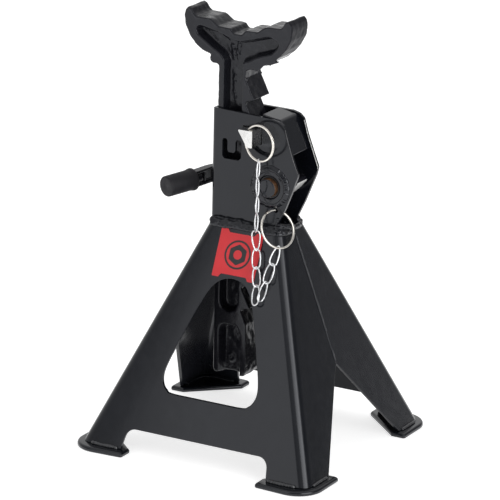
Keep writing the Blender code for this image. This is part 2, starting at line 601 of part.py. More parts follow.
REC_L, REC_R = -40.3, -13.9
pocket_low = fillet([(REC_L, 70.0), (-8.9, 70.0), (-8.9, 134.0), (REC_R, 148.5), (REC_L, 148.5)], [0, 0, 5.0, 9.0, 9.0], 3)
pocket_mid = fillet([(REC_L, 164.5), (REC_R, 164.5), (REC_R, 489.0), (-4.5, 492.5), (5.0, 498.2), (27.0, 505.5),
                     (40.0, 520.0), (22.0, 527.5), (0.0, 520.5), (-17.7, 515.5), (-28.0, 516.5), (-49.0, 523.5), (-76.0, 529.0),
                     (-82.0, 523.5), (-78.0, 516.0), (-59.0, 503.5), (-46.0, 496.0), (REC_L, 489.0)],
                    [11.0, 12.0, 3.0, 3.0, 6.0, 8.0, 5.0, 8.0, 6.0, 6.0, 6.0, 6.0, 5.0, 4.0, 6.0, 8.0, 4.0, 4.0], 2)
for side, lab in ((-1, "front"), (1, "rear")):
    boolean(bar, pocket("cut_pocket_low_" + lab, pocket_low, side, 12.4, 4.5))
    boolean(bar, pocket("cut_pocket_mid_" + lab, pocket_mid, side, 12.4, 3.6))

# rounded-off long edges, clear of the column's inner bends
for side, lab in ((-1, "front"), (1, "rear")):
    edge = [(-50.5, side * 22.0), (-45.2, side * 22.0), (-45.6, side * (BAR_Y + 0.01)), (-47.2, side * (BAR_Y - 0.6)),
            (BAR_L - 0.01, side * (BAR_Y - 1.9)), (-50.5, side * (BAR_Y - 2.2))]
    boolean(bar, add_object("cut_edge_" + lab, prism(edge, 60.0, 482.0, 'z'), None))

# =============================== safety pin and rings ==========================
pin_pts = fillet(PIN_SEC, [1.2, 1.2, 1.2, 1.2], 2)
pin = add_object("safety_pin", prism(pin_pts, PIN_Y0, PIN_Y1, 'y'), mat_zinc, smooth=35)
pin.location = (0, 0, 0)
relief = add_object("cut_pin_relief", prism([(-20.0, 380.0), (4.7, 380.0), (4.7, 420.0), (-20.0, 420.0)], -20.6, 20.6, 'y'), None)
boolean(pin, relief)

PR_C = Vector((22.1, -38.0, 396.0))
PR_R = 22.5
PR_T = Vector((math.cos(math.radians(-12.0)), math.sin(math.radians(-12.0)), 0.0))
ring_hole_a = PR_C - PR_T * 16.4 + Vector((0, 0, 15.4))
ring_hole_b = PR_C - PR_T * 22.3 + Vector((0, 0, 2.5))
mid = (ring_hole_a + ring_hole_b) / 2
mid = mid + (mid - PR_C).normalized() * 0.45
hole_cut = add_object("cut_pin_ring_hole", turned([(0, -20.0), (2.5, -20.0), (2.5, 20.0), (0, 20.0)], 12, False), None)
hole_cut.rotation_mode = 'QUATERNION'
hole_cut.rotation_quaternion = (ring_hole_a - ring_hole_b).normalized().to_track_quat('Z', 'Y')
hole_cut.location = mid * MM
boolean(pin, hole_cut)


def ring(name, centre, u, v, radius, mat):
    c, u, v = Vector(centre), Vector(u).normalized(), Vector(v).normalized()
    pts = [c + u * (radius * math.cos(2 * math.pi * i / 40)) + v * (radius * math.sin(2 * math.pi * i / 40))
           for i in range(40)]
    return add_object(name, tube_loop(c, pts, RING_WIRE, 8), mat, smooth=50)


ring("pin_ring", PR_C, PR_T, (0, 0, 1), PR_R, mat_zinc)

AR_TOP = Vector((ANC[0], -(COL_Y - COL_T / 2), ANC[1]))
AR_BOT = Vector((55.0, -42.0, 268.1))
AR_C = (AR_TOP + AR_BOT) / 2
AR_R = (AR_TOP - AR_BOT).length / 2
ar_d = (AR_TOP - AR_BOT).normalized()
t0 = ar_d.cross(Vector((0, 0, 1))).normalized() * -1.0
if t0.x < 0:
    t0 = -t0
m0 = ar_d.cross(t0)
beta = math.radians(27.0)
ar_t = t0 * math.cos(beta) + m0 * math.sin(beta)
ring("anchor_ring", AR_C, ar_t, ar_d, AR_R, mat_zinc)

# chain: equal links stepped along a smooth route that hangs, then lies on the sloping face
route_pts = [PR_C + Vector((0, 0, -PR_R + RING_WIRE + 0.1)), Vector((21.4, -38.0, 352.0)), Vector((22.0, -38.2, 327.5)),
             Vector((22.4, -38.8, 304.0)), Vector((22.6, -42.5, 283.5)), Vector((26.4, -49.6, 262.5)),
             Vector((31.2, -58.2, 242.0)), Vector((36.8, -67.0, 222.0)), Vector((41.6, -73.4, 206.2)),
             Vector((42.6, -74.8, 203.0)), Vector((48.4, -64.5, 229.0)), Vector((52.4, -56.0, 249.5)), AR_BOT + ar_d * (RING_WIRE + 0.1)]


def step_nodes(points, count):
    """Points an equal chord apart along a polyline, the last one on the polyline's end."""
    def walk(p):
        out = [Vector(points[0])]
        seg, t = 0, 0.0
        for _ in range(count):
            here = out[-1]
            s, u = seg, t
            found = None
            while s < len(points) - 1:
                a, b = Vector(points[s]), Vector(points[s + 1])
                n = 60
                for k in range(int(u * n) + 1, n + 1):
                    q = a + (b - a) * (k / n)
                    if (q - here).length >= p:
                        q0 = a + (b - a) * ((k - 1) / n)
                        l0, l1 = (q0 - here).length, (q - here).length
                        w = 1.0 if l1 - l0 < 1e-9 else (p - l0) / (l1 - l0)
                        found = q0 + (q - q0) * max(0.0, min(1.0, w))
                        seg, t = s, k / n
                        break
                if found is not None:
                    break
                s, u = s + 1, 0.0
            if found is None:
                return out, False
            out.append(found)
        return out, True
    lo, hi = 15.0, 30.0
    for _ in range(40):
        mid_p = (lo + hi) / 2
        _, ok = walk(mid_p)
        if ok:
            lo = mid_p
        else:
            hi = mid_p
    nodes, _ = walk(lo)
    return nodes, lo


# at the loop's lowest point the rising link hangs a little below the falling one,
# so each side of the loop is stepped on its own
DOWN, UP = 8, 3
nodes_down, p_down = step_nodes(route_pts[:9], DOWN)
nodes_up, p_up = step_nodes(route_pts[9:], UP)
nodes_down[-1], nodes_up[-1] = route_pts[8], route_pts[-1]
ends = list(zip(nodes_down, nodes_down[1:])) + list(zip(nodes_up, nodes_up[1:]))


def link_mesh(a, b, angle):
    """One welded link whose inner ends bear on the joints a and b."""
    a, b = Vector(a), Vector(b)
    d = (b - a)
    half = d.length / 2 + LINK_WIRE + 0.17
    d.normalize()
    ref = Vector((0.0, -1.0, 0.0))
    side = d.cross(ref).normalized()
    nrm = side.cross(d).normalized()
    w = side * math.cos(angle) + nrm * math.sin(angle)
    c = (a + b) / 2
    r = LINK_W / 2 - LINK_WIRE
    pts = []
    for k in range(7):
        t = -math.pi / 2 + math.pi * k / 6
        pts.append(c + d * (half - r) + d * (r * math.cos(t)) + w * (r * math.sin(t)))
    for k in range(7):
        t = math.pi / 2 + math.pi * k / 6
        pts.append(c - d * (half - r) + d * (r * math.cos(t)) + w * (r * math.sin(t)))
    return tube_loop(c, pts, LINK_WIRE, 6)


LINK_ANGLE = [78, -12, 70, -28, 52, -48, 28, -82, 3, 98, 22]
for i in range(N_LINK):
    add_object("chain_link_%02d" % (i + 1), link_mesh(ends[i][0], ends[i][1], math.radians(LINK_ANGLE[i])),
               mat_zinc, smooth=60)

# label on the front face, notched at its top and bottom edges
slope = math.atan2(BASE_Y - TOP_Y, BASE_H)
lab = [(-29.8, -30.8), (-21.0, -30.8), (-17.5, -26.2), (17.5, -26.2), (21.0, -30.8), (29.8, -30.8),
       (29.8, 30.8), (21.0, 30.8), (17.5, 26.2), (-17.5, 26.2), (-21.0, 30.8), (-29.8, 30.8)]
label = add_object("front_label", prism(lab, -0.45, 0.0, 'y'), mat_label)
LAB_H = 245.0
label.location = Vector((0.0, -base_y(LAB_H) - GAP / math.cos(slope), PAD_T + LAB_H)) * MM
label.rotation_euler = (-slope, 0.0, 0.0)
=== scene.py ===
import bpy, bmesh, math, random
from mathutils import Vector, Matrix, noise


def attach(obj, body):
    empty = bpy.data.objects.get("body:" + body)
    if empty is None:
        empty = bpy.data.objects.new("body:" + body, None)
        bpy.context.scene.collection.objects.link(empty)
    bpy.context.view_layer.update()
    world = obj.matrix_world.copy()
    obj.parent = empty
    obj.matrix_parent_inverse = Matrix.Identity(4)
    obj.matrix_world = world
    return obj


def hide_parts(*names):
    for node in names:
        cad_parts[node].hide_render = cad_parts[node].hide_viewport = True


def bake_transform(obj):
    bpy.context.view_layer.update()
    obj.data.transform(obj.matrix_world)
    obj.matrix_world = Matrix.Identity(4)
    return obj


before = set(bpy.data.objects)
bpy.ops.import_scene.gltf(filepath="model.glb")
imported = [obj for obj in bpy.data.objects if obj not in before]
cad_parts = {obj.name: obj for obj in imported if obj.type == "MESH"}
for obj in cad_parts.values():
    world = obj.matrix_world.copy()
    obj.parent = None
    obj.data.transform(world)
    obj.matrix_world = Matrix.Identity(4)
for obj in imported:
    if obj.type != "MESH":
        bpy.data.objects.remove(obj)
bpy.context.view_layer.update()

MM = 0.001
SC = bpy.context.scene

# ------------------------------------------------------------------ camera
cam_data = bpy.data.cameras.new("studio_camera")
cam_data.sensor_width = 36.0
cam_data.lens = 265.08
cam_data.clip_start = 0.1
cam_data.clip_end = 100.0
cam = bpy.data.objects.new("studio_camera", cam_data)
SC.collection.objects.link(cam)
cam.matrix_world = Matrix(((0.87121368, -0.1638347, 0.46275795, 2.1257),
                           (0.4904442, 0.24969707, -0.83493465, -3.8510),
                           (0.02124196, 0.95436343, 0.29789128, 1.6177),
                           (0.0, 0.0, 0.0, 1.0)))
SC.camera = cam
SC.view_settings.view_transform = 'Standard'
SC.view_settings.look = 'None'
SC.view_settings.exposure = 0.0
SC.view_settings.gamma = 1.0

# ------------------------------------------------------------------ measures of the frame (mm)
PAD_T, BASE_H = 6.0, 275.0
BASE_X, BASE_Y, TOP_X, TOP_Y = 162.0, 152.0, 53.0, 33.5
PLATE_T, BEND_R, SEAM, GAP = 4.5, 13.8, 0.2, 0.3
BAR_LOW, BAR_HIGH, LEG_IN, SIDE_APEX, SIDE_FOOT = 25.7, 73.9, 102.8, 112.0, 95.0
COL_T, COL_Y, COL_X = 4.0, 24.75, -53.0
PIV_X, PIV_Z, SHAFT_R, HOLE_R = 31.4, 338.7, 12.0, 14.3
Z_TOP = PAD_T + BASE_H
BAR_Y, BAR_L, ROOT_X, TIP_X = 20.4, -48.15, -10.0, 3.0
BAR_WEB = 8.0
RING_WIRE, LINK_WIRE, LINK_W = 1.3, 1.0, 12.6
KEY_X, KEY_Z, KEY_R = 22.4, 399.2, 21.5
ANC = (40.2, 309.7)
SLOPE = math.atan2(BASE_Y - TOP_Y, BASE_H)


# ------------------------------------------------------------------ materials
def new_mat(name):
    m = bpy.data.materials.new(name)
    m.use_nodes = True
    nt = m.node_tree
    return m, nt, nt.nodes["Principled BSDF"]


def coord(nt, scale=(1, 1, 1)):
    tc = nt.nodes.new("ShaderNodeTexCoord")
    mp = nt.nodes.new("ShaderNodeMapping")
    mp.inputs["Scale"].default_value = scale
    nt.links.new(tc.outputs["Object"], mp.inputs["Vector"])
    return mp.outputs["Vector"]


def noise_node(nt, vec, scale, detail=4.0, rough=0.5, dist=0.0):
    n = nt.nodes.new("ShaderNodeTexNoise")
    n.inputs["Scale"].default_value = scale
    n.inputs["Detail"].default_value = detail
    n.inputs["Roughness"].default_value = rough
    n.inputs["Distortion"].default_value = dist
    nt.links.new(vec, n.inputs["Vector"])
    return n.outputs["Fac"]


def ramp(nt, fac, stops):
    r = nt.nodes.new("ShaderNodeValToRGB")
    el = r.color_ramp.elements
    while len(el) < len(stops):
        el.new(0.5)
    for e, (p, c) in zip(el, stops):
        e.position = p
        e.color = (c[0], c[1], c[2], 1.0) if hasattr(c, "__len__") else (c, c, c, 1.0)
    nt.links.new(fac, r.inputs["Fac"])
    return r.outputs["Color"]


def span(nt, fac, lo, hi, f0=0.3, f1=0.7):
    r = nt.nodes.new("ShaderNodeMapRange")
    r.inputs["From Min"].default_value = f0
    r.inputs["From Max"].default_value = f1
    r.inputs["To Min"].default_value = lo
    r.inputs["To Max"].default_value = hi
    nt.links.new(fac, r.inputs["Value"])
    return r.outputs["Result"]


def bump(nt, height, strength, dist, normal=None):
    b = nt.nodes.new("ShaderNodeBump")
    b.inputs["Strength"].default_value = strength
    b.inputs["Distance"].default_value = dist
    nt.links.new(height, b.inputs["Height"])
    if normal is not None:
        nt.links.new(normal, b.inputs["Normal"])
    return b.outputs["Normal"]


def painted(name, lo, hi, r_lo, r_hi, peel=0.10, coarse=0.0, fine_scale=900.0, coat=0.0, spec=0.5):
    """Satin black enamel: slight mottling, uneven gloss, orange peel, optional lumpy substrate."""
    m, nt, b = new_mat(name)
    v = coord(nt)
    n1 = noise_node(nt, v, 26.0, 5.0, 0.55)
    nt.links.new(ramp(nt, n1, [(0.3, lo), (0.7, hi)]), b.inputs["Base Color"])
    n2 = noise_node(nt, v, 90.0, 4.0, 0.6)
    nt.links.new(span(nt, n2, r_lo, r_hi), b.inputs["Roughness"])
    n3 = noise_node(nt, v, fine_scale, 2.0, 0.5)
    nrm = bump(nt, n3, peel, 0.00025)
    if coarse > 0:
        n4 = noise_node(nt, v, 210.0, 5.0, 0.6)
        nrm = bump(nt, n4, coarse, 0.0012, nrm)
    nt.links.new(nrm, b.inputs["Normal"])
    b.inputs["Specular IOR Level"].default_value = spec
    b.inputs["Specular Tint"].default_value = (0.93, 0.95, 1.0, 1.0)
    if coat:
        b.inputs["Coat Weight"].default_value = coat
        b.inputs["Coat Roughness"].default_value = 0.10
    return m


M_PAINT = painted("black_paint", (0.0030, 0.0036, 0.0055), (0.0048, 0.0055, 0.0080), 0.13, 0.19, 0.03)
M_COLUMN = painted("black_paint_column", (0.0030, 0.0036, 0.0055), (0.0048, 0.0055, 0.0080), 0.13, 0.19, 0.03, spec=0.43)
# painted light: a lighter copy of the black paint for the rear plate, so its flanges read brighter than the front
# plate's
M_PAINT_REAR_PAINTED_LIGHT = painted("black_paint_rear_painted_light", (0.0068, 0.0074, 0.0098), (0.0090, 0.0097, 0.0123), 0.15, 0.21, 0.012)
# painted shade: darker, duller paint for the rear plate's inner face and lower cut edges
M_PAINT_IN_SHADE = painted("black_paint_inside_painted_shade", (0.0052, 0.0058, 0.0078), (0.0070, 0.0078, 0.0100), 0.20, 0.28, 0.02, spec=0.16)
M_WELD = painted("painted_weld", (0.0035, 0.0040, 0.0060), (0.0060, 0.0066, 0.0090), 0.13, 0.22, 0.06, 0.05, 700.0)
M_WELD_WET = painted("painted_weld_glossy", (0.0035, 0.0040, 0.0060), (0.0060, 0.0066, 0.0090), 0.10, 0.16, 0.04, 0.05, 700.0, coat=0.9)
M_CAST = painted("black_casting", (0.0060, 0.0062, 0.0088), (0.0095, 0.0097, 0.0125), 0.18, 0.26, 0.12, 0.07, 620.0, spec=0.35)
# painted shade: duller copy of the casting paint for the faces at the right horn's end
M_CAST_END_SHADE = painted("casting_end_painted_shade", (0.0090, 0.0092, 0.0118), (0.0125, 0.0127, 0.0155), 0.34, 0.42, 0.06, 0.03, 620.0, spec=0.10)


def zinc(name, tint, rough=(0.16, 0.34), bump_s=0.25):
    m, nt, b = new_mat(name)
    v = coord(nt)
    n1 = noise_node(nt, v, 160.0, 4.0, 0.6)
    nt.links.new(ramp(nt, n1, [(0.25, tuple(c * 0.80 for c in tint)), (0.75, tint)]), b.inputs["Base Color"])
    n2 = noise_node(nt, v, 420.0, 3.0, 0.5)
    nt.links.new(span(nt, n2, rough[0], rough[1]), b.inputs["Roughness"])
    n3 = noise_node(nt, v, 1300.0, 3.0, 0.6)
    nt.links.new(bump(nt, n3, bump_s, 0.00012), b.inputs["Normal"])
    b.inputs["Metallic"].default_value = 1.0
    return m


M_ZINC = zinc("bright_zinc", (0.90, 0.91, 0.93))
M_NICKEL = zinc("nickel_ring", (0.90, 0.86, 0.80), (0.10, 0.24), 0.12)
M_PIN = zinc("zinc_pin", (0.77, 0.77, 0.76), (0.22, 0.34), 0.3)
# bright metal used for the pawl's tail patch and as a painted highlight along the rear cheek's edge
M_BARE_AND_HIGHLIGHT = zinc("bare_face_and_painted_highlight", (0.58, 0.58, 0.57), (0.42, 0.56), 0.3)
# painted highlight: dull metal line along the front cheek's edge
M_EDGE_HIGHLIGHT = zinc("edge_painted_highlight", (0.16, 0.16, 0.165), (0.35, 0.60), 0.5)

M_RUST, nt, b = new_mat("bare_bush")
v = coord(nt)
nt.links.new(ramp(nt, noise_node(nt, v, 260.0, 5.0, 0.65),
                  [(0.30, (0.028, 0.016, 0.010)), (0.50, (0.10, 0.048, 0.022)), (0.72, (0.22, 0.110, 0.050))]),
             b.inputs["Base Color"])
b.inputs["Metallic"].default_value = 0.55
nt.links.new(span(nt, noise_node(nt, v, 500.0, 3.0), 0.45, 0.75), b.inputs["Roughness"])
nt.links.new(bump(nt, noise_node(nt, v, 900.0, 4.0, 0.6), 0.5, 0.0002), b.inputs["Normal"])

M_RUBBER, nt, b = new_mat("black_rubber")
v = coord(nt)
nt.links.new(ramp(nt, noise_node(nt, v, 60.0, 4.0, 0.5), [(0.3, (0.0095, 0.0092, 0.0115)), (0.7, (0.0150, 0.0145, 0.0175))]),
             b.inputs["Base Color"])
nt.links.new(span(nt, noise_node(nt, v, 140.0, 3.0), 0.50, 0.66), b.inputs["Roughness"])
nt.links.new(bump(nt, noise_node(nt, v, 1500.0, 2.0, 0.5), 0.35, 0.0002), b.inputs["Normal"])
b.inputs["Specular IOR Level"].default_value = 0.28

M_LABEL, nt, b = new_mat("red_label")
v = coord(nt)
nt.links.new(ramp(nt, noise_node(nt, v, 45.0, 3.0, 0.5), [(0.3, (0.545, 0.019, 0.026)), (0.7, (0.590, 0.024, 0.031))]),
             b.inputs["Base Color"])
nt.links.new(span(nt, noise_node(nt, v, 120.0, 3.0), 0.34, 0.46), b.inputs["Roughness"])
nt.links.new(bump(nt, noise_node(nt, v, 1100.0, 2.0), 0.06, 0.0002), b.inputs["Normal"])

M_INK, nt, b = new_mat("label_ink")
v = coord(nt)
nt.links.new(ramp(nt, noise_node(nt, v, 80.0, 3.0, 0.5), [(0.3, (0.012, 0.013, 0.015)), (0.7, (0.018, 0.019, 0.022))]),
             b.inputs["Base Color"])
nt.links.new(span(nt, noise_node(nt, v, 160.0, 3.0), 0.36, 0.48), b.inputs["Roughness"])


# ------------------------------------------------------------------ mesh helpers
def fillet(points, radii, seg=8):
    out = []
    n = len(points)
    for i, p in enumerate(points):
        r = radii[i] if isinstance(radii, (list, tuple)) else radii
        p = Vector(p)
        a = Vector(points[i - 1]) - p
        b = Vector(points[(i + 1) % n]) - p
        if r <= 0:
            out.append((p.x, p.y))
            continue
        ua, ub = a.normalized(), b.normalized()
        ang = ua.angle(ub)
        if ang > math.pi - 1e-3:
            out.append((p.x, p.y))
            continue
        d = r / math.tan(ang / 2)
        d = min(d, 0.49 * a.length, 0.49 * b.length)
        r = d * math.tan(ang / 2)
        t0, t1 = p + ua * d, p + ub * d
        c = p + (ua + ub).normalized() * (r / math.sin(ang / 2))
        a0 = math.atan2(t0.y - c.y, t0.x - c.x)
        a1 = math.atan2(t1.y - c.y, t1.x - c.x)
        da = (a1 - a0 + math.pi) % (2 * math.pi) - math.pi
        for k in range(seg + 1):
            t = a0 + da * k / seg
            out.append((c.x + r * math.cos(t), c.y + r * math.sin(t)))
    return out


def spline(points, per=5):
    """Closed Catmull-Rom curve through the points."""
    out, n = [], len(points)
    P = [Vector(p) for p in points]
    for i in range(n):
        p0, p1, p2, p3 = P[i - 1], P[i], P[(i + 1) % n], P[(i + 2) % n]
        for k in range(per):
            t = k / per
            out.append(tuple(0.5 * ((2 * p1) + (p2 - p0) * t + (2 * p0 - 5 * p1 + 4 * p2 - p3) * t * t
                                    + (3 * p1 - p0 - 3 * p2 + p3) * t ** 3)))
    return out


def prism(points, lo, hi, axis):
    bm = bmesh.new()

    def at(p, w):
        u, q = p
        c = {'y': (u, w, q), 'x': (w, u, q), 'z': (u, q, w)}[axis]
        return Vector(c) * MM
    a = [bm.verts.new(at(p, lo)) for p in points]
    b = [bm.verts.new(at(p, hi)) for p in points]
    bm.faces.new(a)
    bm.faces.new(list(reversed(b)))
    n = len(points)
    for i in range(n):
        j = (i + 1) % n
        bm.faces.new((a[j], a[i], b[i], b[j]))
    return bm


def circle(cx, cz, r, n, phase=0.0):
    return [(cx + r * math.cos(2 * math.pi * (i + phase) / n),
             cz + r * math.sin(2 * math.pi * (i + phase) / n)) for i in range(n)]


def turned(profile, n, closed_profile=True):
    bm = bmesh.new()
    rings = []
    for r, h in profile:
        if r < 1e-6:
            rings.append([bm.verts.new(Vector((0, 0, h)) * MM)])
        else:
            rings.append([bm.verts.new(Vector((r * math.cos(2 * math.pi * i / n),
                                               r * math.sin(2 * math.pi * i / n), h)) * MM)
                          for i in range(n)])
    m = len(rings)
    for k in range(m if closed_profile else m - 1):
        a, b = rings[k], rings[(k + 1) % m]
        if len(a) == 1 and len(b) == 1:
            continue
        for i in range(n):
            j = (i + 1) % n
            if len(a) == 1:
                bm.faces.new((a[0], b[j], b[i]))
            elif len(b) == 1:
                bm.faces.new((a[i], a[j], b[0]))
            else:
                bm.faces.new((a[i], a[j], b[j], b[i]))
    return bm


def to_object(name, bm, mat=None, smooth=True, recalc=True):
    if recalc:
        bmesh.ops.recalc_face_normals(bm, faces=bm.faces)
    me = bpy.data.meshes.new(name)
    bm.to_mesh(me)
    bm.free()
    if smooth:
        me.shade_smooth()
    ob = bpy.data.objects.new(name, me)
    SC.collection.objects.link(ob)
    if mat is not None:
        me.materials.append(mat)
    return ob


def boolean(ob, cutter, op='DIFFERENCE'):
    m = ob.modifiers.new("b", 'BOOLEAN')
    m.operation, m.solver, m.object = op, 'EXACT', cutter
    cutter.hide_render = True
    return m


def bake(ob, keep_mat=None):
    """Apply all modifiers; the helper objects they used are removed."""
    bpy.context.view_layer.update()
    used = [m.object for m in ob.modifiers if m.type == 'BOOLEAN' and m.object]
    dg = bpy.context.evaluated_depsgraph_get()
    me = bpy.data.meshes.new_from_object(ob.evaluated_get(dg), preserve_all_data_layers=False, depsgraph=dg)
    me.name = ob.name
    ob.modifiers.clear()
    ob.data = me
    if keep_mat is not None:
        me.materials.clear()
        me.materials.append(keep_mat)
        for p in me.polygons:
            p.material_index = 0
    me.shade_smooth()
    for u in set(used):
        if u.name in bpy.data.objects:
            bpy.data.objects.remove(u, do_unlink=True)
    return ob


def edge_round(ob, width, seg=3, angle=32.0):
    """Small rolled edge round every sharp corner of sheet metal."""
    me = ob.data
    bm = bmesh.new()
    bm.from_mesh(me)
    bmesh.ops.remove_doubles(bm, verts=bm.verts, dist=0.00003)
    bmesh.ops.dissolve_degenerate(bm, edges=bm.edges, dist=0.00003)
    bm.to_mesh(me)
    bm.free()
    me.shade_smooth()
    m = ob.modifiers.new("edge", 'BEVEL')
    m.width, m.segments = width * MM, seg
    m.limit_method, m.angle_limit = 'ANGLE', math.radians(angle)
    m.harden_normals = True
    m.use_clamp_overlap = True
    m.miter_outer = 'MITER_ARC'
    return ob


def piece(ob, body, slot, *nodes):
    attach(ob, body)
    if nodes:
        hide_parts(*nodes)
    return ob


def copy_node(name, new_name, mat):
    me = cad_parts[name].data.copy()
    me.name = new_name
    me.materials.clear()
    me.materials.append(mat)
    ob = bpy.data.objects.new(new_name, me)
    SC.collection.objects.link(ob)
    return ob


def cast_form(ob, voxel, iters, lumps=0.0, lump_scale=90.0, seed=0.0, fine=0.0, mask=None):
    """Turn sharp solids into one casting: remesh, round off, and give it a slightly uneven skin."""
    r = ob.modifiers.new("r", 'REMESH')
    r.mode, r.voxel_size, r.adaptivity = 'VOXEL', voxel * MM, 0.0
    s = ob.modifiers.new("s", 'SMOOTH')
    s.factor, s.iterations = 0.5, iters
    bake(ob, ob.data.materials[0])
    if lumps > 0 or fine > 0:
        me = ob.data
        nrm = [Vector(n.vector) for n in me.vertex_normals]
        for i, vtx in enumerate(me.vertices):
            p = vtx.co
            d = lumps * noise.noise(p * lump_scale + Vector((seed, seed * 1.7, 3.1)))
            if fine:
                d += fine * noise.noise(p * 420.0 + Vector((seed, 1.3, seed)))
            if mask is not None:
                d *= mask(p)
            vtx.co = p + nrm[i] * (d * MM)
        me.update()
    return ob


def swept(points, radius, sides=12, closed=False, flat=(1.0, 1.0), normal=None, rad_fn=None):
    """Tube along points (mm). flat scales its two cross directions; rad_fn(i) scales its radius."""
    bm = bmesh.new()
    pts = [Vector(p) for p in points]
    n = len(pts)
    rings = []
    ref = Vector(normal) if normal is not None else None
    prev = None
    for i in range(n):
        if closed:
            t = (pts[(i + 1) % n] - pts[i - 1]).normalized()
        else:
            t = (pts[min(i + 1, n - 1)] - pts[max(i - 1, 0)]).normalized()
        if ref is not None:
            out = t.cross(ref).normalized()
        else:
            out = prev - t * prev.dot(t) if prev is not None else t.orthogonal()
            out.normalize()
        prev = out
        up = out.cross(t).normalized()
        k = rad_fn(i) if rad_fn else 1.0
        rings.append([bm.verts.new((pts[i] + out * (radius * flat[0] * k * math.cos(2 * math.pi * (j + .5) / sides))
                                    + up * (radius * flat[1] * k * math.sin(2 * math.pi * (j + .5) / sides))) * MM)
                      for j in range(sides)])
    for i in range(n if closed else n - 1):
        a, b = rings[i], rings[(i + 1) % n]
        for j in range(sides):
            l = (j + 1) % sides
            bm.faces.new((a[j], a[l], b[l], b[j]))
    if not closed:
        bm.faces.new(list(reversed(rings[0])))
        bm.faces.new(rings[-1])
    return bm


# ------------------------------------------------------------------ base plates
def base_x(h):
    return BASE_X + (TOP_X - BASE_X) * h / BASE_H


def base_y(h):
    return BASE_Y + (TOP_Y - BASE_Y) * h / BASE_H


def base_path(h, inset, seg=14):
    x, y = base_x(h), base_y(h)
    r = BEND_R - inset
    cx, cy = x - BEND_R, y - BEND_R
    pts = [(-(x - inset), -SEAM)]
    for k in range(seg + 1):
        t = math.pi + (math.pi / 2) * k / seg
        pts.append((-cx + r * math.cos(t), -cy + r * math.sin(t)))
    for k in range(seg + 1):
        t = 1.5 * math.pi + (math.pi / 2) * k / seg
        pts.append((cx + r * math.cos(t), -cy + r * math.sin(t)))
    pts.append((x - inset, -SEAM))
    return pts


def base_half(side):
    bm = bmesh.new()
    z0, z1 = PAD_T + GAP, PAD_T + BASE_H
    rows = {}
    for key, h, z in (("b", GAP, z0), ("t", BASE_H, z1)):
        for lab, inset in (("o", 0.0), ("i", PLATE_T)):
            rows[key + lab] = [bm.verts.new(Vector((p[0], p[1] * side, z)) * MM) for p in base_path(h, inset)]
    n = len(rows["bo"])
    for i in range(n - 1):
        bm.faces.new((rows["bo"][i], rows["bo"][i + 1], rows["to"][i + 1], rows["to"][i]))
        bm.faces.new((rows["bi"][i + 1], rows["bi"][i], rows["ti"][i], rows["ti"][i + 1]))
        bm.faces.new((rows["to"][i], rows["to"][i + 1], rows["ti"][i + 1], rows["ti"][i]))
        bm.faces.new((rows["bo"][i + 1], rows["bo"][i], rows["bi"][i], rows["bi"][i + 1]))
    for i in (0, n - 1):
        bm.faces.new((rows["bo"][i], rows["to"][i], rows["ti"][i], rows["bi"][i]))
    return bm


half = [(43.0, 0.0), (58.0, 3.5), (65.0, 11.5), (66.8, 22.0), (63.5, 37.0), (55.5, 60.0),
        (48.0, 81.0), (41.0, 100.0), (33.6, 117.0), (26.5, 129.5), (18.5, 137.5), (9.5, 141.6), (0.0, 142.8)]
win_up = spline([(x, z) for x, z in half] + [(-x, z) for x, z in reversed(half[:-1])], 5)
win = [(x, PAD_T + BAR_HIGH + max(z, 0.0)) for x, z in win_up]
zb = PAD_T + BAR_LOW
under = fillet([(-LEG_IN - 1.6, PAD_T - 4), (-LEG_IN + 3.2, zb), (LEG_IN - 3.2, zb), (LEG_IN + 1.6, PAD_T - 4)],
               [0, 14.0, 14.0, 0], 12)
side_v = fillet([(-SIDE_FOOT * 1.03, PAD_T - 3.4), (0.0, PAD_T + SIDE_APEX), (SIDE_FOOT * 1.03, PAD_T - 3.4)],
                [0, 5.0, 0], 8)
# the rear plate takes the lighter paint copy, which is painted light
for name, side in (("front_frame_plate", 1), ("rear_frame_plate", -1)):
    ob = to_object(name.replace("_frame", "_base"), base_half(side), M_PAINT if side > 0 else M_PAINT_REAR_PAINTED_LIGHT)
    y0, y1 = (-175.0, -8.0) if side > 0 else (8.0, 175.0)
    boolean(ob, to_object("cw", prism(win, y0, y1, 'y')))
    boolean(ob, to_object("cu", prism(under, y0, y1, 'y')))
    boolean(ob, to_object("cs", prism(side_v, -185.0, 185.0, 'x')))
    bake(ob, M_PAINT if side > 0 else M_PAINT_REAR_PAINTED_LIGHT)
    if side < 0:
        # painted shade: a darker, duller copy of the paint on the inner face and the lower cut edges keeps them dark as
        # if in shadow
        ob.data.materials.append(M_PAINT_IN_SHADE)
        for p in ob.data.polygons:
            if (p.normal.y < -0.5 and abs(p.normal.x) < 0.6) or (p.center.x > 0.03 and p.normal.z < -0.5):
                p.material_index = 1
    edge_round(ob, 1.35, 4)
    piece(ob, "frame", "black_paint", name)

# ------------------------------------------------------------------ foot plates
FOOT = [(95.0, 164.0), (95.0, 143.0), (153.5, 88.5), (172.5, 88.5), (172.5, 168.5)]
FOOT_R = [3.0, 4.0, 4.0, 3.0, 34.0]


def inset_polygon(points, d):
    n = len(points)
    c = sum((Vector(p) for p in points), Vector((0, 0))) / n
    lines = []
    for i in range(n):
        a, b = Vector(points[i]), Vector(points[(i + 1) % n])
        t = (b - a).normalized()
        nn = Vector((-t.y, t.x))
        if nn.dot(c - a) < 0:
            nn = -nn
        lines.append((a + nn * d, t))
    out = []
    for i in range(n):
        (p, t), (q, s) = lines[i - 1], lines[i]
        den = t.x * s.y - t.y * s.x
        k = ((q.x - p.x) * s.y - (q.y - p.y) * s.x) / den
        out.append((p.x + t.x * k, p.y + t.y * k))
    return out


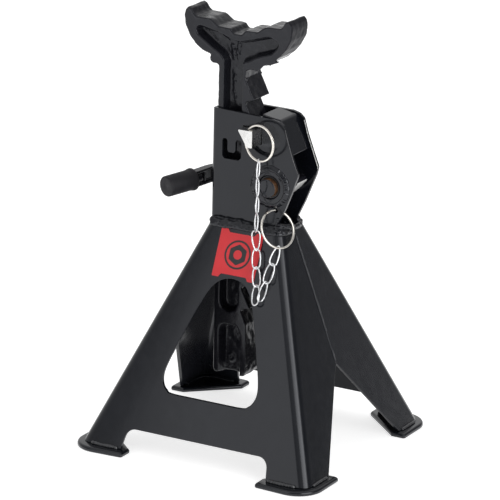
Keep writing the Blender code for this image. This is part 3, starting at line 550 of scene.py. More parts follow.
def foot_mesh(sx, sy):
    bm = bmesh.new()
    rows = []
    for z, d in ((0.0, 1.1), (0.35, 0.35), (1.1, 0.0), (3.3, 0.0), (4.2, 0.35), (5.4, 1.35), (5.9, 2.1), (PAD_T, 3.0)):
        pts = fillet(inset_polygon(FOOT, d), [max(0.6, r - d * (1 if r > 10 else 0)) for r in FOOT_R], 16)
        rows.append([bm.verts.new(Vector((x * sx, y * sy, z)) * MM) for x, y in pts])
    n = len(rows[0])
    for a, b in zip(rows, rows[1:]):
        for i in range(n):
            j = (i + 1) % n
            bm.faces.new((a[i], a[j], b[j], b[i]))
    bm.faces.new(rows[0])
    bm.faces.new(list(reversed(rows[-1])))
    return bm


for label, sx, sy in (("front_left", -1, -1), ("front_right", 1, -1), ("rear_left", -1, 1), ("rear_right", 1, 1)):
    ob = to_object("foot_plate_" + label, foot_mesh(sx, sy), M_PAINT)
    ob.data.set_sharp_from_angle(angle=math.radians(50))
    piece(ob, "frame", "black_paint", "foot_pad_" + label)


# ------------------------------------------------------------------ weld beads
def bead(name, path, radius, seed, pitch=2.4, sides=14, step=0.5, squash=0.75, body="frame", mat=None, rough=0.16,
         up=None, spatter=0, raw=False):
    """Weld run along a path of (x, y, z): overlapping ripples, uneven width, rounded ends."""
    rnd = random.Random(seed)
    P = [Vector(p) for p in path]
    run = [0.0]
    for a, b in zip(P, P[1:]):
        run.append(run[-1] + (b - a).length)
    L = run[-1]
    n = max(8, int(L / step))
    pts, rad = [], []
    wander = [rnd.uniform(-1, 1) for _ in range(8)]
    for i in range(n + 1):
        s = L * i / n
        k = 0
        while k < len(run) - 2 and s > run[k + 1]:
            k += 1
        t = (s - run[k]) / max(1e-6, run[k + 1] - run[k])
        p = P[k].lerp(P[k + 1], min(1.0, t))
        q = Vector((s * 0.09, seed * 1.31, 0.7))
        p = p + Vector((noise.noise(q), noise.noise(q + Vector((9, 2, 0))), noise.noise(q + Vector((3, 7, 0))))) * radius * 0.22
        ph = (s / pitch + 0.35 * noise.noise(Vector((s * 0.15, seed, 5.0)))) % 1.0
        r = 1.0 + rough * (math.sqrt(max(0.0, 1 - (ph * 2 - 1) ** 2)) - 0.6) + 0.34 * noise.noise(Vector((s * 0.11, seed * 0.7, 2.0)))
        e = min(s, L - s) / (radius * 1.1)
        if e < 1:
            r *= math.sqrt(max(0.02, 1 - (1 - e) ** 2))
        pts.append(p)
        rad.append(r)
    bm = swept(pts, radius, sides, False, (1.0, squash), up if up is not None else (0, 0, 1), lambda i: rad[i])
    for vtx in bm.verts:
        q = vtx.co * 330.0 + Vector((seed, 0, seed))
        vtx.co += Vector((noise.noise(q), noise.noise(q + Vector((5, 5, 5))), noise.noise(q + Vector((11, 3, 8))))) * radius * 0.07 * MM
    for _ in range(spatter):
        s = rnd.randint(0, n)
        c = pts[s] + Vector((rnd.uniform(-1, 1), rnd.uniform(-1, 1), rnd.uniform(0.0, 1))) * radius * 1.0
        bmesh.ops.create_icosphere(bm, subdivisions=2, radius=rnd.uniform(0.5, 1.1) * MM,
                                   matrix=Matrix.Translation(c * MM))
    if raw:
        return bm
    ob = to_object(name, bm, mat or M_WELD)
    piece(ob, body, "painted_weld")
    return ob


def add_to(bm, other):
    bmesh.ops.recalc_face_normals(other, faces=other.faces)
    me = bpy.data.meshes.new("tmp")
    other.to_mesh(me)
    other.free()
    bm.from_mesh(me)
    bpy.data.meshes.remove(me)


def weld_mass(name, runs, seed, lumps=0.55, scale=190.0, fine=0.12, voxel=0.8, drops=(), squash=0.9):
    """Several runs laid over each other and flowed together, with drops standing on them."""
    bm = bmesh.new()
    for k, (path, radius) in enumerate(runs):
        add_to(bm, bead("", path, radius, seed + k, 6.5, rough=0.12, squash=squash, raw=True))
    rnd = random.Random(seed + 50)
    for c, r in drops:
        d = bmesh.new()
        bmesh.ops.create_icosphere(d, subdivisions=3, radius=r * MM,
                                   matrix=Matrix.Translation(Vector(c) * MM) @ Matrix.Diagonal((1.0, 0.8 + 0.3 * rnd.random(), 0.75 + 0.6 * rnd.random(), 1.0)))
        add_to(bm, d)
    ob = to_object(name, bm, M_WELD)
    cast_form(ob, voxel, 3, lumps, scale, float(seed), fine)
    piece(ob, "frame", "painted_weld")
    return ob


def along(h0, h1, x_of, y_of, n=12):
    return [(x_of(h0 + (h1 - h0) * k / n), y_of(h0 + (h1 - h0) * k / n), PAD_T + h0 + (h1 - h0) * k / n)
            for k in range(n + 1)]


# column to base: three overlapping runs on each side
for label, s, sd in (("front", -1, 3), ("rear", 1, 23)):
    a = weld_mass("column_weld_run_" + label, [
        ([(-50.5, s * 26.0, 286.4), (-20, s * 26.1, 287.0), (12, s * 26.0, 286.2), (43.0, s * 26.1, 286.8)], 3.8),
        ([(-51.0, s * 28.6, 283.6), (-25, s * 28.9, 284.0), (0, s * 28.5, 283.4), (24, s * 28.9, 284.0), (45.0, s * 28.6, 283.4)], 5.0),
        ([(-49.0, s * 31.8, 281.0), (-10, s * 32.0, 281.5), (20, s * 31.9, 280.8), (46.0, s * 31.6, 281.3)], 4.0)], 3 + sd,
        lumps=0.40, scale=300.0)
    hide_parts("column_weld_" + label)
# round the open end of the column the weld is built up high and rough
drop = random.Random(77)
weld_mass("column_weld_open_end", [
    ([(40.5, -27.5, 286.5), (45.5, -28.0, 284.5), (49.0, -24.0, 283.0), (50.4, -13.0, 282.4), (50.6, 0.0, 282.2), (50.4, 13.0, 282.4),
      (49.0, 24.0, 283.0), (45.5, 28.0, 284.5), (40.5, 27.5, 286.5)], 4.2),
    ([(42.0, -26.4, 291.8), (46.0, -25.6, 291.0), (49.0, -19.0, 289.4), (50.4, -9.0, 287.0), (50.0, 2.0, 285.0)], 4.2),
    ([(43.0, -31.0, 281.5), (49.0, -29.0, 281.0), (51.5, -20.0, 280.5), (51.8, 0.0, 280.2)], 3.4),
    ([(42.0, 25.6, 290.0), (45.0, 24.0, 288.0), (47.5, 18.0, 286.0)], 3.8)], 141, lumps=0.7,
    drops=[((drop.uniform(43.0, 54.5), drop.uniform(-33.0, -8.0), drop.uniform(281.0, 291.5)), drop.uniform(1.2, 2.2)) for _ in range(30)])
bead("column_bead_cheek_foot_front", [(42.8, -24.6, 301.0), (42.4, -25.2, 292.0), (43.4, -26.0, 284.0)], 2.2, 44, 3.4, rough=0.3)
bead("column_bead_cheek_foot_rear", [(42.8, 24.6, 301.0), (42.4, 25.2, 292.0), (43.4, 26.0, 284.0)], 2.2, 47, 3.4, rough=0.3)
bead("column_bead_web", [(-51.6, -26.0, 282.6), (-52.4, -10.0, 282.2), (-52.4, 10.0, 282.2), (-51.6, 26.0, 282.6)], 2.3, 51, 4.0, rough=0.25)
# side seams
for label, s, sd in (("right", 1, 61), ("left", -1, 67)):
    bead("seam_bead_" + label, along(150.0, 268.0, lambda h: s * (base_x(h) - 0.2), lambda h: 0.0), 1.25, sd, 2.0,
         step=0.6, sides=8, squash=1.0, rough=0.3)
    bead("seam_bead_low_" + label, along(115.0, 128.0, lambda h: s * (base_x(h) - 0.2), lambda h: 0.0, 3), 1.2, sd + 1, 2.0,
         step=0.6, sides=8, squash=1.0, rough=0.3)
# legs to foot plates
k = 70
for sx in (-1, 1):
    for sy in (-1, 1):
        tag = ("rear" if sy > 0 else "front") + ("_right" if sx > 0 else "_left")
        k += 3
        bead("foot_bead_face_" + tag, [(sx * 107.0, sy * 151.9, 7.0), (sx * 127.0, sy * 152.2, 7.2), (sx * 146.0, sy * 151.9, 7.0)],
             2.9, k, 4.2, rough=0.42, squash=0.9, spatter=5, mat=M_WELD_WET)
        bead("foot_bead_side_" + tag, [(sx * 161.9, sy * 137.0, 7.0), (sx * 162.1, sy * 120.0, 7.2), (sx * 161.9, sy * 101.0, 7.0)],
             2.2, k + 1, 2.6, rough=0.34, squash=0.9, mat=M_WELD_WET)
        bead("foot_bead_inside_" + tag, [(sx * 110.0, sy * 147.0, 7.0), (sx * 140.0, sy * 147.0, 7.2), (sx * 152.0, sy * 142.0, 7.0),
                                         (sx * 157.0, sy * 128.0, 7.2), (sx * 157.2, sy * 104.0, 7.0)], 2.2, k + 2, 2.8, rough=0.25)

# ------------------------------------------------------------------ column
cheek = [(-46.0, 247.0), (-46.0, Z_TOP + GAP), (COL_X, Z_TOP + GAP), (COL_X, 428.4), (34.0, 425.0),
         (42.5, 423.0), (49.0, 418.6), (54.6, 399.8), (62.3, 378.2), (70.3, 358.5), (66.9, 349.5),
         (61.7, 334.0), (53.4, 313.0), (45.7, 297.0), (41.0, Z_TOP + GAP), (41.0, 247.0)]
cheek_r = [2.0, 0, 0, 3.0, 14.0, 6.0, 6.0, 20.0, 30.0, 7.0, 20.0, 30.0, 30.0, 20.0, 0, 2.0]
r_out, r_in = 6.0, 2.0
u_sec = [(82.0, -COL_Y), (82.0, -COL_Y + COL_T)]
for k in range(9):
    t = 1.5 * math.pi - (math.pi / 2) * k / 8
    u_sec.append((COL_X + r_out + r_in * math.cos(t), -COL_Y + r_out + r_in * math.sin(t)))
for k in range(9):
    t = math.pi - (math.pi / 2) * k / 8
    u_sec.append((COL_X + r_out + r_in * math.cos(t), COL_Y - r_out + r_in * math.sin(t)))
u_sec += [(82.0, COL_Y - COL_T), (82.0, COL_Y)]
for k in range(13):
    t = math.pi / 2 + (math.pi / 2) * k / 12
    u_sec.append((COL_X + r_out + r_out * math.cos(t), COL_Y - r_out + r_out * math.sin(t)))
for k in range(13):
    t = math.pi + (math.pi / 2) * k / 12
    u_sec.append((COL_X + r_out + r_out * math.cos(t), -COL_Y + r_out + r_out * math.sin(t)))
col = to_object("column", prism(u_sec, 240.0, 435.0, 'z'), M_COLUMN)
rear_cheek = cheek[:4] + [(36.0, 427.2), (45.2, 424.8), (51.4, 419.6), (57.4, 400.2), (66.0, 378.2), (73.6, 359.5),
                          (71.0, 349.0), (64.8, 334.0), (56.4, 313.0), (48.8, 297.0)] + cheek[14:]
boolean(col, to_object("cc", prism(fillet(rear_cheek, cheek_r, 8), -60.0, 60.0, 'y')), 'INTERSECT')
trim = [(-40.0, 440.0), (-40.0, 427.89)] + cheek[4:14] + [(41.0, Z_TOP + GAP), (95.0, Z_TOP + GAP), (95.0, 440.0)]
boolean(col, to_object("ch", prism(fillet(trim, [0, 0] + cheek_r[4:14] + [0, 0, 0], 8), -60.0, -10.0, 'y')))
slot_pts = [(-37.5, 368.5), (-34.5, 365.0), (-14.5, 365.0), (-10.4, 369.0), (-10.4, 388.0), (-12.0, 391.0),
            (-17.0, 391.0), (-18.8, 388.0), (-18.8, 377.0), (-20.8, 374.0), (-28.6, 374.0), (-30.2, 377.0),
            (-30.2, 388.0), (-31.6, 391.0), (-36.2, 391.0), (-37.5, 388.5)]
boolean(col, to_object("ct", prism(fillet(slot_pts, 1.6, 4), -32.0, -16.0, 'y')))
key = []
for k in range(65):
    t = math.radians(163.0) - math.radians(163.0 + 134.0) * k / 64
    key.append((KEY_X + KEY_R * math.cos(t), KEY_Z + KEY_R * math.sin(t)))
key = [p for p in key if not (p[0] < 4.0 and 384.0 < p[1] < 411.9)]
key_poly = [(-8.9, 411.9)] + [p for p in key if not (p[0] < 6.0 and p[1] > 411.9)] + [(3.6, 384.0), (-8.9, 405.0)]
boolean(col, to_object("ck", prism(key_poly, -60.0, 60.0, 'y')))
boolean(col, to_object("cp", prism(circle(PIV_X, PIV_Z, HOLE_R, 64), -60.0, 60.0, 'y')))
boolean(col, to_object("ca", prism(circle(ANC[0], ANC[1], 3.2, 32), -60.0, 0.0, 'y')))
bake(col, M_COLUMN)
edge_round(col, 1.6, 5)
piece(col, "frame", "black_paint", "column_channel")

outer = [(16.0, 428.2), (43.2, 424.4), (60.6, 382.4)]
inner = [(55.9, 380.6), (39.6, 419.9), (16.0, 423.2)]
cov = to_object("cover", prism(fillet(outer + inner, [0, 7.0, 0, 0, 2.5, 0], 10), -20.45, 20.45, 'y'), M_PAINT)
edge_round(cov, 1.0, 4, 25.0)
piece(cov, "frame", "black_paint", "cover_plate")
# the joint of the cover with the labelled-side cheek is run in with weld
bead("cover_bead_front", [(18.0, -20.6, 427.0), (36.0, -20.6, 424.6), (43.5, -20.6, 421.6), (47.0, -20.6, 414.0),
                          (53.0, -20.6, 399.0), (59.0, -20.6, 384.5)], 1.1, 91, 2.6, sides=10, rough=0.3)

# painted highlight: thin bright metal lines along the upper slope of the cheeks stand in for the light the edges catch
bead("edge_highlight_rear", [(52.2, 20.9, 417.6), (57.3, 20.9, 400.4), (65.7, 20.9, 378.6), (72.9, 20.9, 360.2), (72.6, 20.9, 357.4)],
     0.58, 211, 2.2, sides=8, step=0.8, squash=1.0, mat=M_BARE_AND_HIGHLIGHT, rough=0.60)
bead("edge_highlight_front", [(50.2, -24.4, 414.4), (54.5, -24.4, 400.0), (62.1, -24.4, 378.4), (69.4, -24.4, 360.6)],
     0.32, 217, 1.6, sides=8, step=0.8, squash=1.0, mat=M_EDGE_HIGHLIGHT, rough=0.75)

for label, s in (("front", -1), ("rear", 1)):
    prof = [(22.3, 0.0), (22.3, 5.8), (0.0, 5.8), (0.0, 3.0), (18.6, 3.0), (19.4, 2.6), (19.8, 1.8), (19.8, 0.0)]
    g = to_object("pin_cup_" + label, turned(prof, 72), M_PAINT)
    g.rotation_euler = (math.radians(90.0) * s, 0.0, 0.0)
    g.location = Vector((KEY_X, s * (COL_Y - COL_T - GAP), KEY_Z)) * MM
    boolean(g, to_object("c1", prism([(-5.0, 370.0), (4.3, 370.0), (4.3, 430.0), (-5.0, 430.0)], -30.0, 30.0, 'y')))
    boolean(g, to_object("c2", prism([(2.0, 411.0), (14.2, 411.0), (14.2, 388.5), (2.0, 388.5)], -30.0, 30.0, 'y')))
    bake(g, M_PAINT)
    edge_round(g, 0.4, 2)
    piece(g, "frame", "black_paint", "pin_guide_" + label)

# ------------------------------------------------------------------ pivot bosses, bushes, shaft
for label, s, sd in (("front", -1, 101), ("rear", 1, 107)):
    prof = [(HOLE_R + 0.1, 0.0), (27.3, 0.0), (27.1, 0.35), (26.6, 0.9), (25.9, 1.5), (25.1, 2.1), (24.3, 2.7), (23.5, 3.25), (22.8, 3.6), (22.1, 3.7),
            (21.5, 3.45), (21.0, 3.0), (20.5, 2.9), (19.6, 3.3), (18.6, 3.5), (17.2, 3.5), (HOLE_R + 1.5, 3.45), (HOLE_R + 0.7, 3.2), (HOLE_R + 0.15, 2.5)]
    bm = turned(prof, 264)
    for vtx in bm.verts:
        r, t = math.hypot(vtx.co.x, vtx.co.y) / MM, math.atan2(vtx.co.y, vtx.co.x)
        k = min(1.0, max(0.0, (r - 19.2) / 3.0)) * (1.0 if vtx.co.z > 0.0002 else 0.6)
        if k > 0:
            q = Vector((math.cos(t) * 5.2, math.sin(t) * 5.2, sd * 0.7 + r * 0.05))
            d = 0.95 * noise.noise(q) + 0.35 * noise.noise(q * 2.7 + Vector((4, 1, 7)))
            out = Vector((math.cos(t), math.sin(t), 0.0))
            vtx.co += (out * d * 0.9 + Vector((0, 0, 1)) * max(-0.8, d) * (0.8 if vtx.co.z > 0.0002 else 0.0)) * k * MM
    bs = to_object("boss_" + label, bm, M_WELD)
    bs.rotation_euler = (math.radians(-90.0) * s, 0.0, 0.0)
    bs.location = Vector((PIV_X, s * (COL_Y + GAP), PIV_Z)) * MM
    bs.data.set_sharp_from_angle(angle=math.radians(60))
    piece(bs, "frame", "painted_weld", "pivot_boss_" + label)
    prof = [(SHAFT_R + 0.15, 0.0), (HOLE_R - 0.12, 0.0), (HOLE_R - 0.12, 5.2), (HOLE_R - 0.5, 5.7),
            (SHAFT_R + 0.75, 5.8), (SHAFT_R + 0.15, 5.3)]
    bu = to_object("bush_" + label, turned(prof, 96), M_INK)
    bu.rotation_euler = (math.radians(-90.0) * s, 0.0, 0.0)
    bu.location = Vector((PIV_X, s * 20.9, PIV_Z)) * MM
    bu.data.set_sharp_from_angle(angle=math.radians(40))
    piece(bu, "frame", "bare_bush", "shaft_bush_" + label)

sh = to_object("shaft", turned([(0.0, 0.0), (9.9, 0.0), (10.9, 0.12), (11.6, 0.5), (11.9, 1.0), (SHAFT_R, 1.6), (SHAFT_R, 11.0), (SHAFT_R, 82.0),
                                (11.8, 82.8), (11.2, 83.4), (0.0, 83.4)], 96, False), M_PAINT)
sh.rotation_euler = (math.radians(-90.0), 0.0, 0.0)
sh.location = Vector((PIV_X, -34.9, PIV_Z)) * MM
kp = to_object("kp", turned([(0, -40.0), (2.55, -40.0), (2.55, 40.0), (0, 40.0)], 32, False))
kp.location = Vector((PIV_X, 38.0, PIV_Z)) * MM
boolean(sh, kp)
bake(sh, M_PAINT)
sh.data.materials.append(M_RUST)
for p in sh.data.polygons:
    # the end that turns in the bush is bare
    if p.center.length > 0 and 0.0009 < p.center.z < 0.0105 and abs(p.normal.z) < 0.3:
        p.material_index = 1
sh.data.set_sharp_from_angle(angle=math.radians(40))
piece(sh, "pawl", "black_paint", "pawl_shaft")

# roll pin: sprung tube with a slit
slit = 0.5
sec = []
for k in range(33):
    t = math.radians(100.0 + 340.0 * k / 32)
    sec.append((2.5 * math.cos(t), 2.5 * math.sin(t)))
for k in range(33):
    t = math.radians(440.0 - 340.0 * k / 32)
    sec.append((1.55 * math.cos(t), 1.55 * math.sin(t)))
rp = to_object("roll_pin", prism(sec, PIV_Z - 21.0, PIV_Z + 21.0, 'z'), M_ZINC)
for vtx in rp.data.vertices:
    vtx.co.x += PIV_X * MM
    vtx.co.y += 38.0 * MM
rp.data.set_sharp_from_angle(angle=math.radians(35))
piece(rp, "pawl", "bright_zinc", "handle_roll_pin")

# ------------------------------------------------------------------ castings
VOX = 0.85
pw = cast_form(copy_node("pawl", "pawl_casting", M_CAST), VOX, 4, 0.18, 80.0, 2.0, 0.05)
# bare metal on the tail faces turned down and to the right; its brightness there is partly a painted highlight
pw.data.materials.append(M_BARE_AND_HIGHLIGHT)
for p in pw.data.polygons:
    if p.center.x > 0.0455 and p.normal.dot(Vector((0.75, 0.0, -0.66))) > 0.45:
        p.material_index = 1
piece(pw, "pawl", "black_casting", "pawl")
lv = cast_form(copy_node("handle_lever", "lever_casting", M_CAST), 0.7, 4, 0.15, 70.0, 5.0, 0.04)
piece(lv, "pawl", "black_casting", "handle_lever")

bar = copy_node("ratchet_bar", "bar_casting", M_CAST)
bm = bmesh.new()
bm.from_mesh(bar.data)


rnd = random.Random(11)
for s in (-1, 1):
    # small round boss and a bar of the parting line in the lower pocket
    disc = turned([(0, 0), (6.2, 0), (6.2, 3.0), (5.4, 4.2), (4.2, 4.3), (3.4, 3.5), (0, 3.3)], 32, False)
    bmesh.ops.rotate(disc, verts=disc.verts, cent=(0, 0, 0), matrix=Matrix.Rotation(math.radians(-90 * s), 3, 'X'))
    bmesh.ops.translate(disc, verts=disc.verts, vec=Vector((-27.5, s * 5.6, 101.0)) * MM)
    add_to(bm, disc)
    # thin flash left under the right arm, on the labelled side only
    if s > 0:
        continue
    fin = prism([(3.0, 480.0), (10.0, 483.0), (15.5, 489.4), (26.0, 491.8), (36.5, 496.2), (36.0, 498.0), (26.0, 495.5),
                 (14.5, 493.5), (2.0, 486.5)], s * 20.3 if s < 0 else 17.2, -17.2 if s < 0 else 20.3, 'y')
    add_to(bm, fin)
for s in (-1, 1):
    # ragged rib and lumps where the three pockets of the head meet
    for (x0, z0), (x1, z1), r in (((-23.8, 510.0), (-26.2, 491.0), 2.7), ((-34.4, 506.0), (-31.2, 490.0), 2.2),
                                  ((-47.5, 520.5), (-37.4, 514.3), 2.0), ((-30.7, 468.0), (-30.0, 437.0), 1.8)):
        for k in range(9):
            t = k / 8
            c = Vector((x0 + (x1 - x0) * t + rnd.uniform(-1.2, 1.2), s * (BAR_WEB + rnd.uniform(-0.6, 0.4)), z0 + (z1 - z0) * t))
            bmesh.ops.create_icosphere(bm, subdivisions=2, radius=r * rnd.uniform(0.7, 1.25) * MM, matrix=Matrix.Translation(c * MM))
for s in (-1, 1):
    # drips of flash at the roots of the teeth
    for z in [480.5] + [470.0 - 30.0 * k for k in range(11)]:
        for _ in range(3):
            c = Vector((-8.0 + rnd.uniform(-2.0, 3.0) + (9.0 if z > 475 else 0.0), s * rnd.uniform(17.2, 18.9), z + rnd.uniform(-1.5, 2.6)))
            bmesh.ops.create_icosphere(bm, subdivisions=2, radius=rnd.uniform(0.9, 1.6) * MM, matrix=Matrix.Translation(c * MM))
bm.to_mesh(bar.data)
bm.free()


def bar_mask(p):
    # keep the rubbing faces inside their clearance
    if p.z < 0.43 and abs(p.y) > 0.0195:
        return 0.35
    return 1.9 if abs(p.y) < 0.0125 else 1.0


cast_form(bar, 0.9, 7, 0.30, 125.0, 9.0, 0.07, bar_mask)
# painted shade: a duller copy of the casting paint on the outer end of the right horn darkens it
bar.data.materials.append(M_CAST_END_SHADE)
for p in bar.data.polygons:
    if p.center.x > 0.036 and p.center.z > 0.492 and p.normal.x > 0.42:
        p.material_index = 1
piece(bar, "ratchet_bar", "black_casting", "ratchet_bar")

# ------------------------------------------------------------------ grip
GRIP_DIR = Vector((-0.3527, -0.9337, -0.0625)).normalized()
RIM = Vector((-93.4, 0.0, 322.7))
g_prof = [(7.0, 0.0), (12.6, 0.0), (13.8, 0.15), (14.35, 0.6), (14.5, 1.4), (14.45, 2.6), (14.1, 4.2), (13.7, 5.8), (13.45, 7.6),
          (13.35, 9.5), (13.35, 38.6), (13.25, 39.3), (13.12, 39.6), (13.25, 39.9), (13.3, 40.6), (13.2, 41.6), (12.8, 42.4), (12.0, 42.85), (11.0, 43.0),
          (4.0, 43.0), (3.0, 42.8), (0.0, 42.7), (0.0, 31.0), (7.0, 31.0)]
gr = to_object("grip_sleeve", turned(g_prof, 96), M_RUBBER)
gr.rotation_mode = 'QUATERNION'
gr.rotation_quaternion = GRIP_DIR.to_track_quat('Z', 'Y')
gr.location = RIM * MM
bake(gr, M_RUBBER)
gr.data.set_sharp_from_angle(angle=math.radians(62))
piece(gr, "pawl", "black_rubber", "handle_grip")

# ------------------------------------------------------------------ safety pin, rings, chain
pin = copy_node("safety_pin", "pin_body", M_PIN)
edge_round(pin, 1.2, 4, 28.0)
piece(pin, "safety_pin", "bright_zinc", "safety_pin")


def split_ring(name, centre, u, v, radius, body, slot, node, start_deg):
    c, u, v = Vector(centre), Vector(u).normalized(), Vector(v).normalized()
    nrm = u.cross(v).normalized()
    pts = []
    n = 220
    for i in range(n + 1):
        w = 720.0 * i / n
        t = math.radians(start_deg + w)
        m = min(1.0, max(0.0, (w - 340.0) / 40.0))
        off = -0.66 + 1.32 * (m * m * (3 - 2 * m))
        pts.append(c + u * (radius * math.cos(t)) + v * (radius * math.sin(t)) + nrm * off)
    bm = swept(pts, 1.0, 14, False, (1.22, 0.63), nrm)
    ob = to_object(name, bm, M_NICKEL)
    ob.data.set_sharp_from_angle(angle=math.radians(50))
    piece(ob, body, slot, node)
    return ob


PR_C, PR_R = Vector((22.1, -38.0, 396.0)), 22.5
PR_T = Vector((math.cos(math.radians(-12.0)), math.sin(math.radians(-12.0)), 0.0))
split_ring("pull_ring", PR_C, PR_T, (0, 0, 1), PR_R, "safety_pin", "bright_zinc", "pin_ring", 207.0)
AR_TOP = Vector((ANC[0], -(COL_Y - COL_T / 2), ANC[1]))
AR_BOT = Vector((55.0, -42.0, 268.1))
AR_C = (AR_TOP + AR_BOT) / 2
AR_R = (AR_TOP - AR_BOT).length / 2
ar_d = (AR_TOP - AR_BOT).normalized()
t0 = ar_d.cross(Vector((0, 0, 1))).normalized() * -1.0
if t0.x < 0:
    t0 = -t0
m0 = ar_d.cross(t0)
beta = math.radians(27.0)
ar_t = t0 * math.cos(beta) + m0 * math.sin(beta)
split_ring("chain_ring", AR_C, ar_t, ar_d, AR_R, "frame", "bright_zinc", "anchor_ring", 128.0)

route_pts = [PR_C + Vector((0, 0, -PR_R + RING_WIRE + 0.1)), Vector((23.0, -41.6, 352.0)), Vector((23.6, -42.2, 327.5)),
             Vector((23.4, -41.8, 304.0)), Vector((22.6, -42.8, 283.5)), Vector((27.6, -49.0, 263.9)),
             Vector((32.6, -57.8, 243.6)), Vector((38.8, -66.9, 222.5)), Vector((41.6, -75.7, 202.0)),
             Vector((46.2, -71.5, 206.5)), Vector((50.4, -63.9, 229.3)), Vector((53.6, -54.6, 250.9)), AR_BOT + ar_d * (RING_WIRE + 0.1)]


def step_nodes(points, count):
    def walk(p):
        out = [Vector(points[0])]
        seg, t = 0, 0.0
        for _ in range(count):
            here = out[-1]
            s, u = seg, t
            found = None
            while s < len(points) - 1:
                a, b = Vector(points[s]), Vector(points[s + 1])
                n = 60
                for k in range(int(u * n) + 1, n + 1):
                    q = a + (b - a) * (k / n)
                    if (q - here).length >= p:
                        q0 = a + (b - a) * ((k - 1) / n)
                        l0, l1 = (q0 - here).length, (q - here).length
                        w = 1.0 if l1 - l0 < 1e-9 else (p - l0) / (l1 - l0)
                        found = q0 + (q - q0) * max(0.0, min(1.0, w))
                        seg, t = s, k / n
                        break
                if found is not None:
                    break
                s, u = s + 1, 0.0
            if found is None:
                return out, False
            out.append(found)
        return out, True
    lo, hi = 15.0, 30.0
    for _ in range(40):
        mid_p = (lo + hi) / 2
        _, ok = walk(mid_p)
        if ok:
            lo = mid_p
        else:
            hi = mid_p
    nodes, _ = walk(lo)
    return nodes


nodes_down = step_nodes(route_pts[:9], 8)
nodes_up = step_nodes(route_pts[9:], 3)
nodes_down[-1], nodes_up[-1] = route_pts[8], route_pts[-1]
ends = list(zip(nodes_down, nodes_down[1:])) + list(zip(nodes_up, nodes_up[1:]))
LINK_ANGLE = [102, -44, 100, -42, 62, 14, 60, -8, -66, -2, -60]
LINK_PEAR = [0.05, -0.08, 0.06, -0.05, -0.48, 0.03, 0.14, 0.10, -0.16, -0.10, -0.45]


def link_shape(a, b, angle, seed, pear, lens=0.0):
    a, b = Vector(a), Vector(b)
    d = (b - a)
    hlf = d.length / 2 + 2 * LINK_WIRE + 0.12
    d.normalize()
    side = d.cross(Vector((0.0, -1.0, 0.0))).normalized()
    nrm = side.cross(d).normalized()
    w = side * math.cos(angle) + nrm * math.sin(angle)
    flat = w.cross(d).normalized()
    c = (a + b) / 2
    r = LINK_W / 2 - LINK_WIRE
    rnd = random.Random(seed)
    full = rnd.uniform(0.80, 0.88)
    n = 72
    pts = []
    for i in range(n):
        t = 2 * math.pi * i / n
        ct, st = math.cos(t), math.sin(t)
        # long oval, a little fuller at one end
        x = (hlf - LINK_WIRE) * math.copysign(abs(ct) ** full, ct)
        y = r * math.copysign(abs(st) ** (full + lens), st) * (1.0 + pear * ct)
        pts.append(c + d * x + w * y)
    weld_i = int(n * 0.25)

    def rad(i):
        k = min(abs(i - weld_i), n - abs(i - weld_i))
        return 1.0 + 0.20 * math.exp(-(k / 2.2) ** 2) - 0.05 * math.exp(-((k - 4) / 1.6) ** 2)
    return swept(pts, LINK_WIRE, 12, True, (1.0, 1.0), flat, rad)


for i, (a, b) in enumerate(ends):
    lk = to_object("link_%02d" % (i + 1), link_shape(a, b, math.radians(LINK_ANGLE[i]), 300 + i, LINK_PEAR[i], 0.75 if i < 4 else 0.0), M_ZINC)
    if i < 8:
        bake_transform(lk)
    else:
        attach(lk, "frame")
    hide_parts("chain_link_%02d" % (i + 1))

# ------------------------------------------------------------------ label
LAB_H = 245.0
lab_out = [(-29.8, -30.8), (-21.0, -30.8), (-17.5, -26.2), (17.5, -26.2), (21.0, -30.8), (29.8, -30.8),
           (29.8, 30.8), (21.0, 30.8), (17.5, 26.2), (-17.5, 26.2), (-21.0, 30.8), (-29.8, 30.8)]
lab_loc = Vector((0.0, -base_y(LAB_H) - GAP / math.cos(SLOPE), PAD_T + LAB_H)) * MM


def on_label(ob):
    ob.location = lab_loc
    ob.rotation_euler = (-SLOPE, 0.0, 0.0)
    bake(ob, ob.data.materials[0])
    me = ob.data
    for vtx in me.vertices:
        vtx.co = ob.matrix_basis @ vtx.co
    ob.location = (0, 0, 0)
    ob.rotation_euler = (0, 0, 0)
    me.set_sharp_from_angle(angle=math.radians(35))
    return ob


lb = to_object("label_sheet", prism(fillet(lab_out, [1.2, 0.6, 1.0, 1.0, 0.6, 1.2, 1.2, 0.6, 1.0, 1.0, 0.6, 1.2], 4), -0.30, 0.25, 'y'), M_LABEL)
on_label(lb)
piece(lb, "frame", "red_label", "front_label")


def ring_prism(outer_pts, inner_pts, y0, y1):
    """Flat ring between two closed outlines with the same number of points."""
    bm = bmesh.new()
    rows = []
    for pts, y in ((outer_pts, y0), (outer_pts, y1), (inner_pts, y1), (inner_pts, y0)):
        rows.append([bm.verts.new(Vector((x, y, z)) * MM) for x, z in pts])
    n = len(outer_pts)
    for k in range(4):
        a, b = rows[k], rows[(k + 1) % 4]
        for i in range(n):
            j = (i + 1) % n
            bm.faces.new((a[i], a[j], b[j], b[i]))
    return bm


def polar(fn, n=96):
    return [(fn(2 * math.pi * i / n) * math.cos(2 * math.pi * i / n), fn(2 * math.pi * i / n) * math.sin(2 * math.pi * i / n)) for i in range(n)]


def hexagon(apothem, soft):
    def fn(t):
        q = (t + math.pi / 6) % (math.pi / 3) - math.pi / 6
        return min(apothem / math.cos(q), apothem * soft)
    return fn


r1 = to_object("label_ring", ring_prism(polar(lambda t: 18.4), polar(lambda t: 15.9), -0.36, -0.28), M_INK)
on_label(r1)
piece(r1, "frame", "red_label")
r2 = to_object("label_nut", ring_prism(polar(hexagon(11.6, 1.12)), polar(lambda t: 5.9), -0.36, -0.28), M_INK)
on_label(r2)
piece(r2, "frame", "red_label")

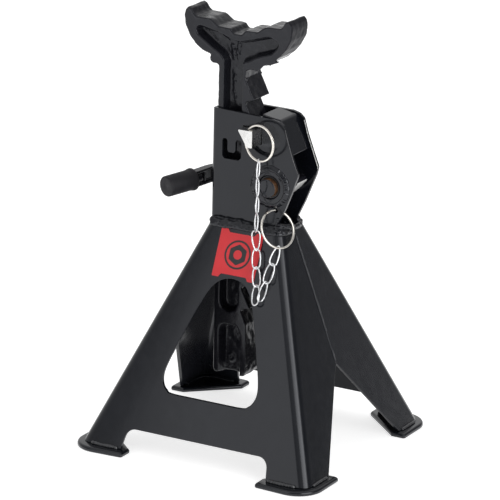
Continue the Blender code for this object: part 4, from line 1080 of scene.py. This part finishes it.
# ------------------------------------------------------------------ floor and light
bm = bmesh.new()
S = 14.0
vs = [bm.verts.new((x, y, -0.0004)) for x, y in ((-S, -S), (S, -S), (S, S), (-S, S))]
bm.faces.new(vs)
M_FLOOR, nt, b = new_mat("studio_floor")
v = coord(nt)
nt.links.new(ramp(nt, noise_node(nt, v, 0.6, 2.0), [(0.3, (0.62, 0.62, 0.62)), (0.7, (0.64, 0.64, 0.64))]), b.inputs["Base Color"])
b.inputs["Roughness"].default_value = 0.9
b.inputs["Specular IOR Level"].default_value = 0.0
FLOOR_GLOW = 0.72
b.inputs["Emission Color"].default_value = (1, 1, 1, 1)
b.inputs["Emission Strength"].default_value = FLOOR_GLOW
floor = to_object("studio_floor_sheet", bm, M_FLOOR, smooth=False)

world = bpy.data.worlds.new("studio_world")
SC.world = world
world.use_nodes = True
wn = world.node_tree
bg = wn.nodes["Background"]
bg.inputs["Strength"].default_value = 1.0
tc = wn.nodes.new("ShaderNodeTexCoord")
sx = wn.nodes.new("ShaderNodeSeparateXYZ")
wn.links.new(tc.outputs["Generated"], sx.inputs["Vector"])


def wmath(op, a, b=0.0, c=None):
    m = wn.nodes.new("ShaderNodeMath")
    m.operation = op
    for k, q in enumerate((a, b) if c is None else (a, b, c)):
        if isinstance(q, (int, float)):
            m.inputs[k].default_value = q
        else:
            wn.links.new(q, m.inputs[k])
    return m.outputs[0]


def wramp(fac, stops):
    r = wn.nodes.new("ShaderNodeValToRGB")
    r.color_ramp.interpolation = 'EASE'
    el = r.color_ramp.elements
    while len(el) < len(stops):
        el.new(0.5)
    for e, (p, c) in zip(el, stops):
        e.position = p
        e.color = (c, c, c, 1.0)
    wn.links.new(fac, r.inputs["Fac"])
    return r.outputs["Color"]


# studio round the object: bearing 0 is the labelled side, +90 the right side
bearing = wmath('ADD', wmath('DIVIDE', wmath('ARCTAN2', sx.outputs["X"], wmath('MULTIPLY', sx.outputs["Y"], -1.0)), 2 * math.pi), 0.5)


def at(deg):
    return (deg + 180.0) / 360.0


walls = wramp(bearing, [(at(-180), 0.60), (at(-160), 0.88), (at(-120), 0.80), (at(-75), 0.55), (at(-50), 0.46), (at(-29), 0.42),
                        (at(-10), 0.36), (at(6), 0.16), (at(36), 0.14), (at(60), 0.14), (at(100), 0.16), (at(150), 0.20),
                        (at(180), 0.60)])
strip = wramp(bearing, [(at(42), 0.0), (at(52), 1.0), (at(84), 1.0), (at(96), 0.0)])
height = wramp(wmath('MULTIPLY_ADD', sx.outputs["Z"], 0.5, 0.5), [(0.46, 0.0), (0.50, 1.0), (0.78, 1.0), (0.86, 0.0)])
upper = wramp(wmath('MULTIPLY_ADD', sx.outputs["Z"], 0.5, 0.5), [(0.70, 0.0), (0.90, 1.0)])
low = wmath('MULTIPLY', walls, wmath('SUBTRACT', 1.0, upper))
total = wmath('ADD', wmath('ADD', low, wmath('MULTIPLY', upper, 0.75)), wmath('MULTIPLY', wmath('MULTIPLY', strip, height), 3.6))
cmb = wn.nodes.new("ShaderNodeCombineColor")
for ch in ("Red", "Green", "Blue"):
    wn.links.new(total, cmb.inputs[ch])
wn.links.new(cmb.outputs[0], bg.inputs["Color"])


def area(name, loc, target, size, size_y, power, color=(1, 1, 1)):
    l = bpy.data.lights.new(name, 'AREA')
    l.shape = 'RECTANGLE'
    l.size, l.size_y = size, size_y
    l.energy = power
    l.color = color
    o = bpy.data.objects.new(name, l)
    o.location = loc
    o.rotation_euler = (Vector(target) - Vector(loc)).to_track_quat('-Z', 'Y').to_euler()
    SC.collection.objects.link(o)
    return o


def panel(name, loc, target, sx_, sy_, radiance):
    return area(name, loc, target, sx_, sy_, radiance * math.pi * sx_ * sy_)


panel("front_panel", (-0.39, -1.30, 0.72), (0.02, -0.10, 0.16), 0.72, 1.1, 0.80)
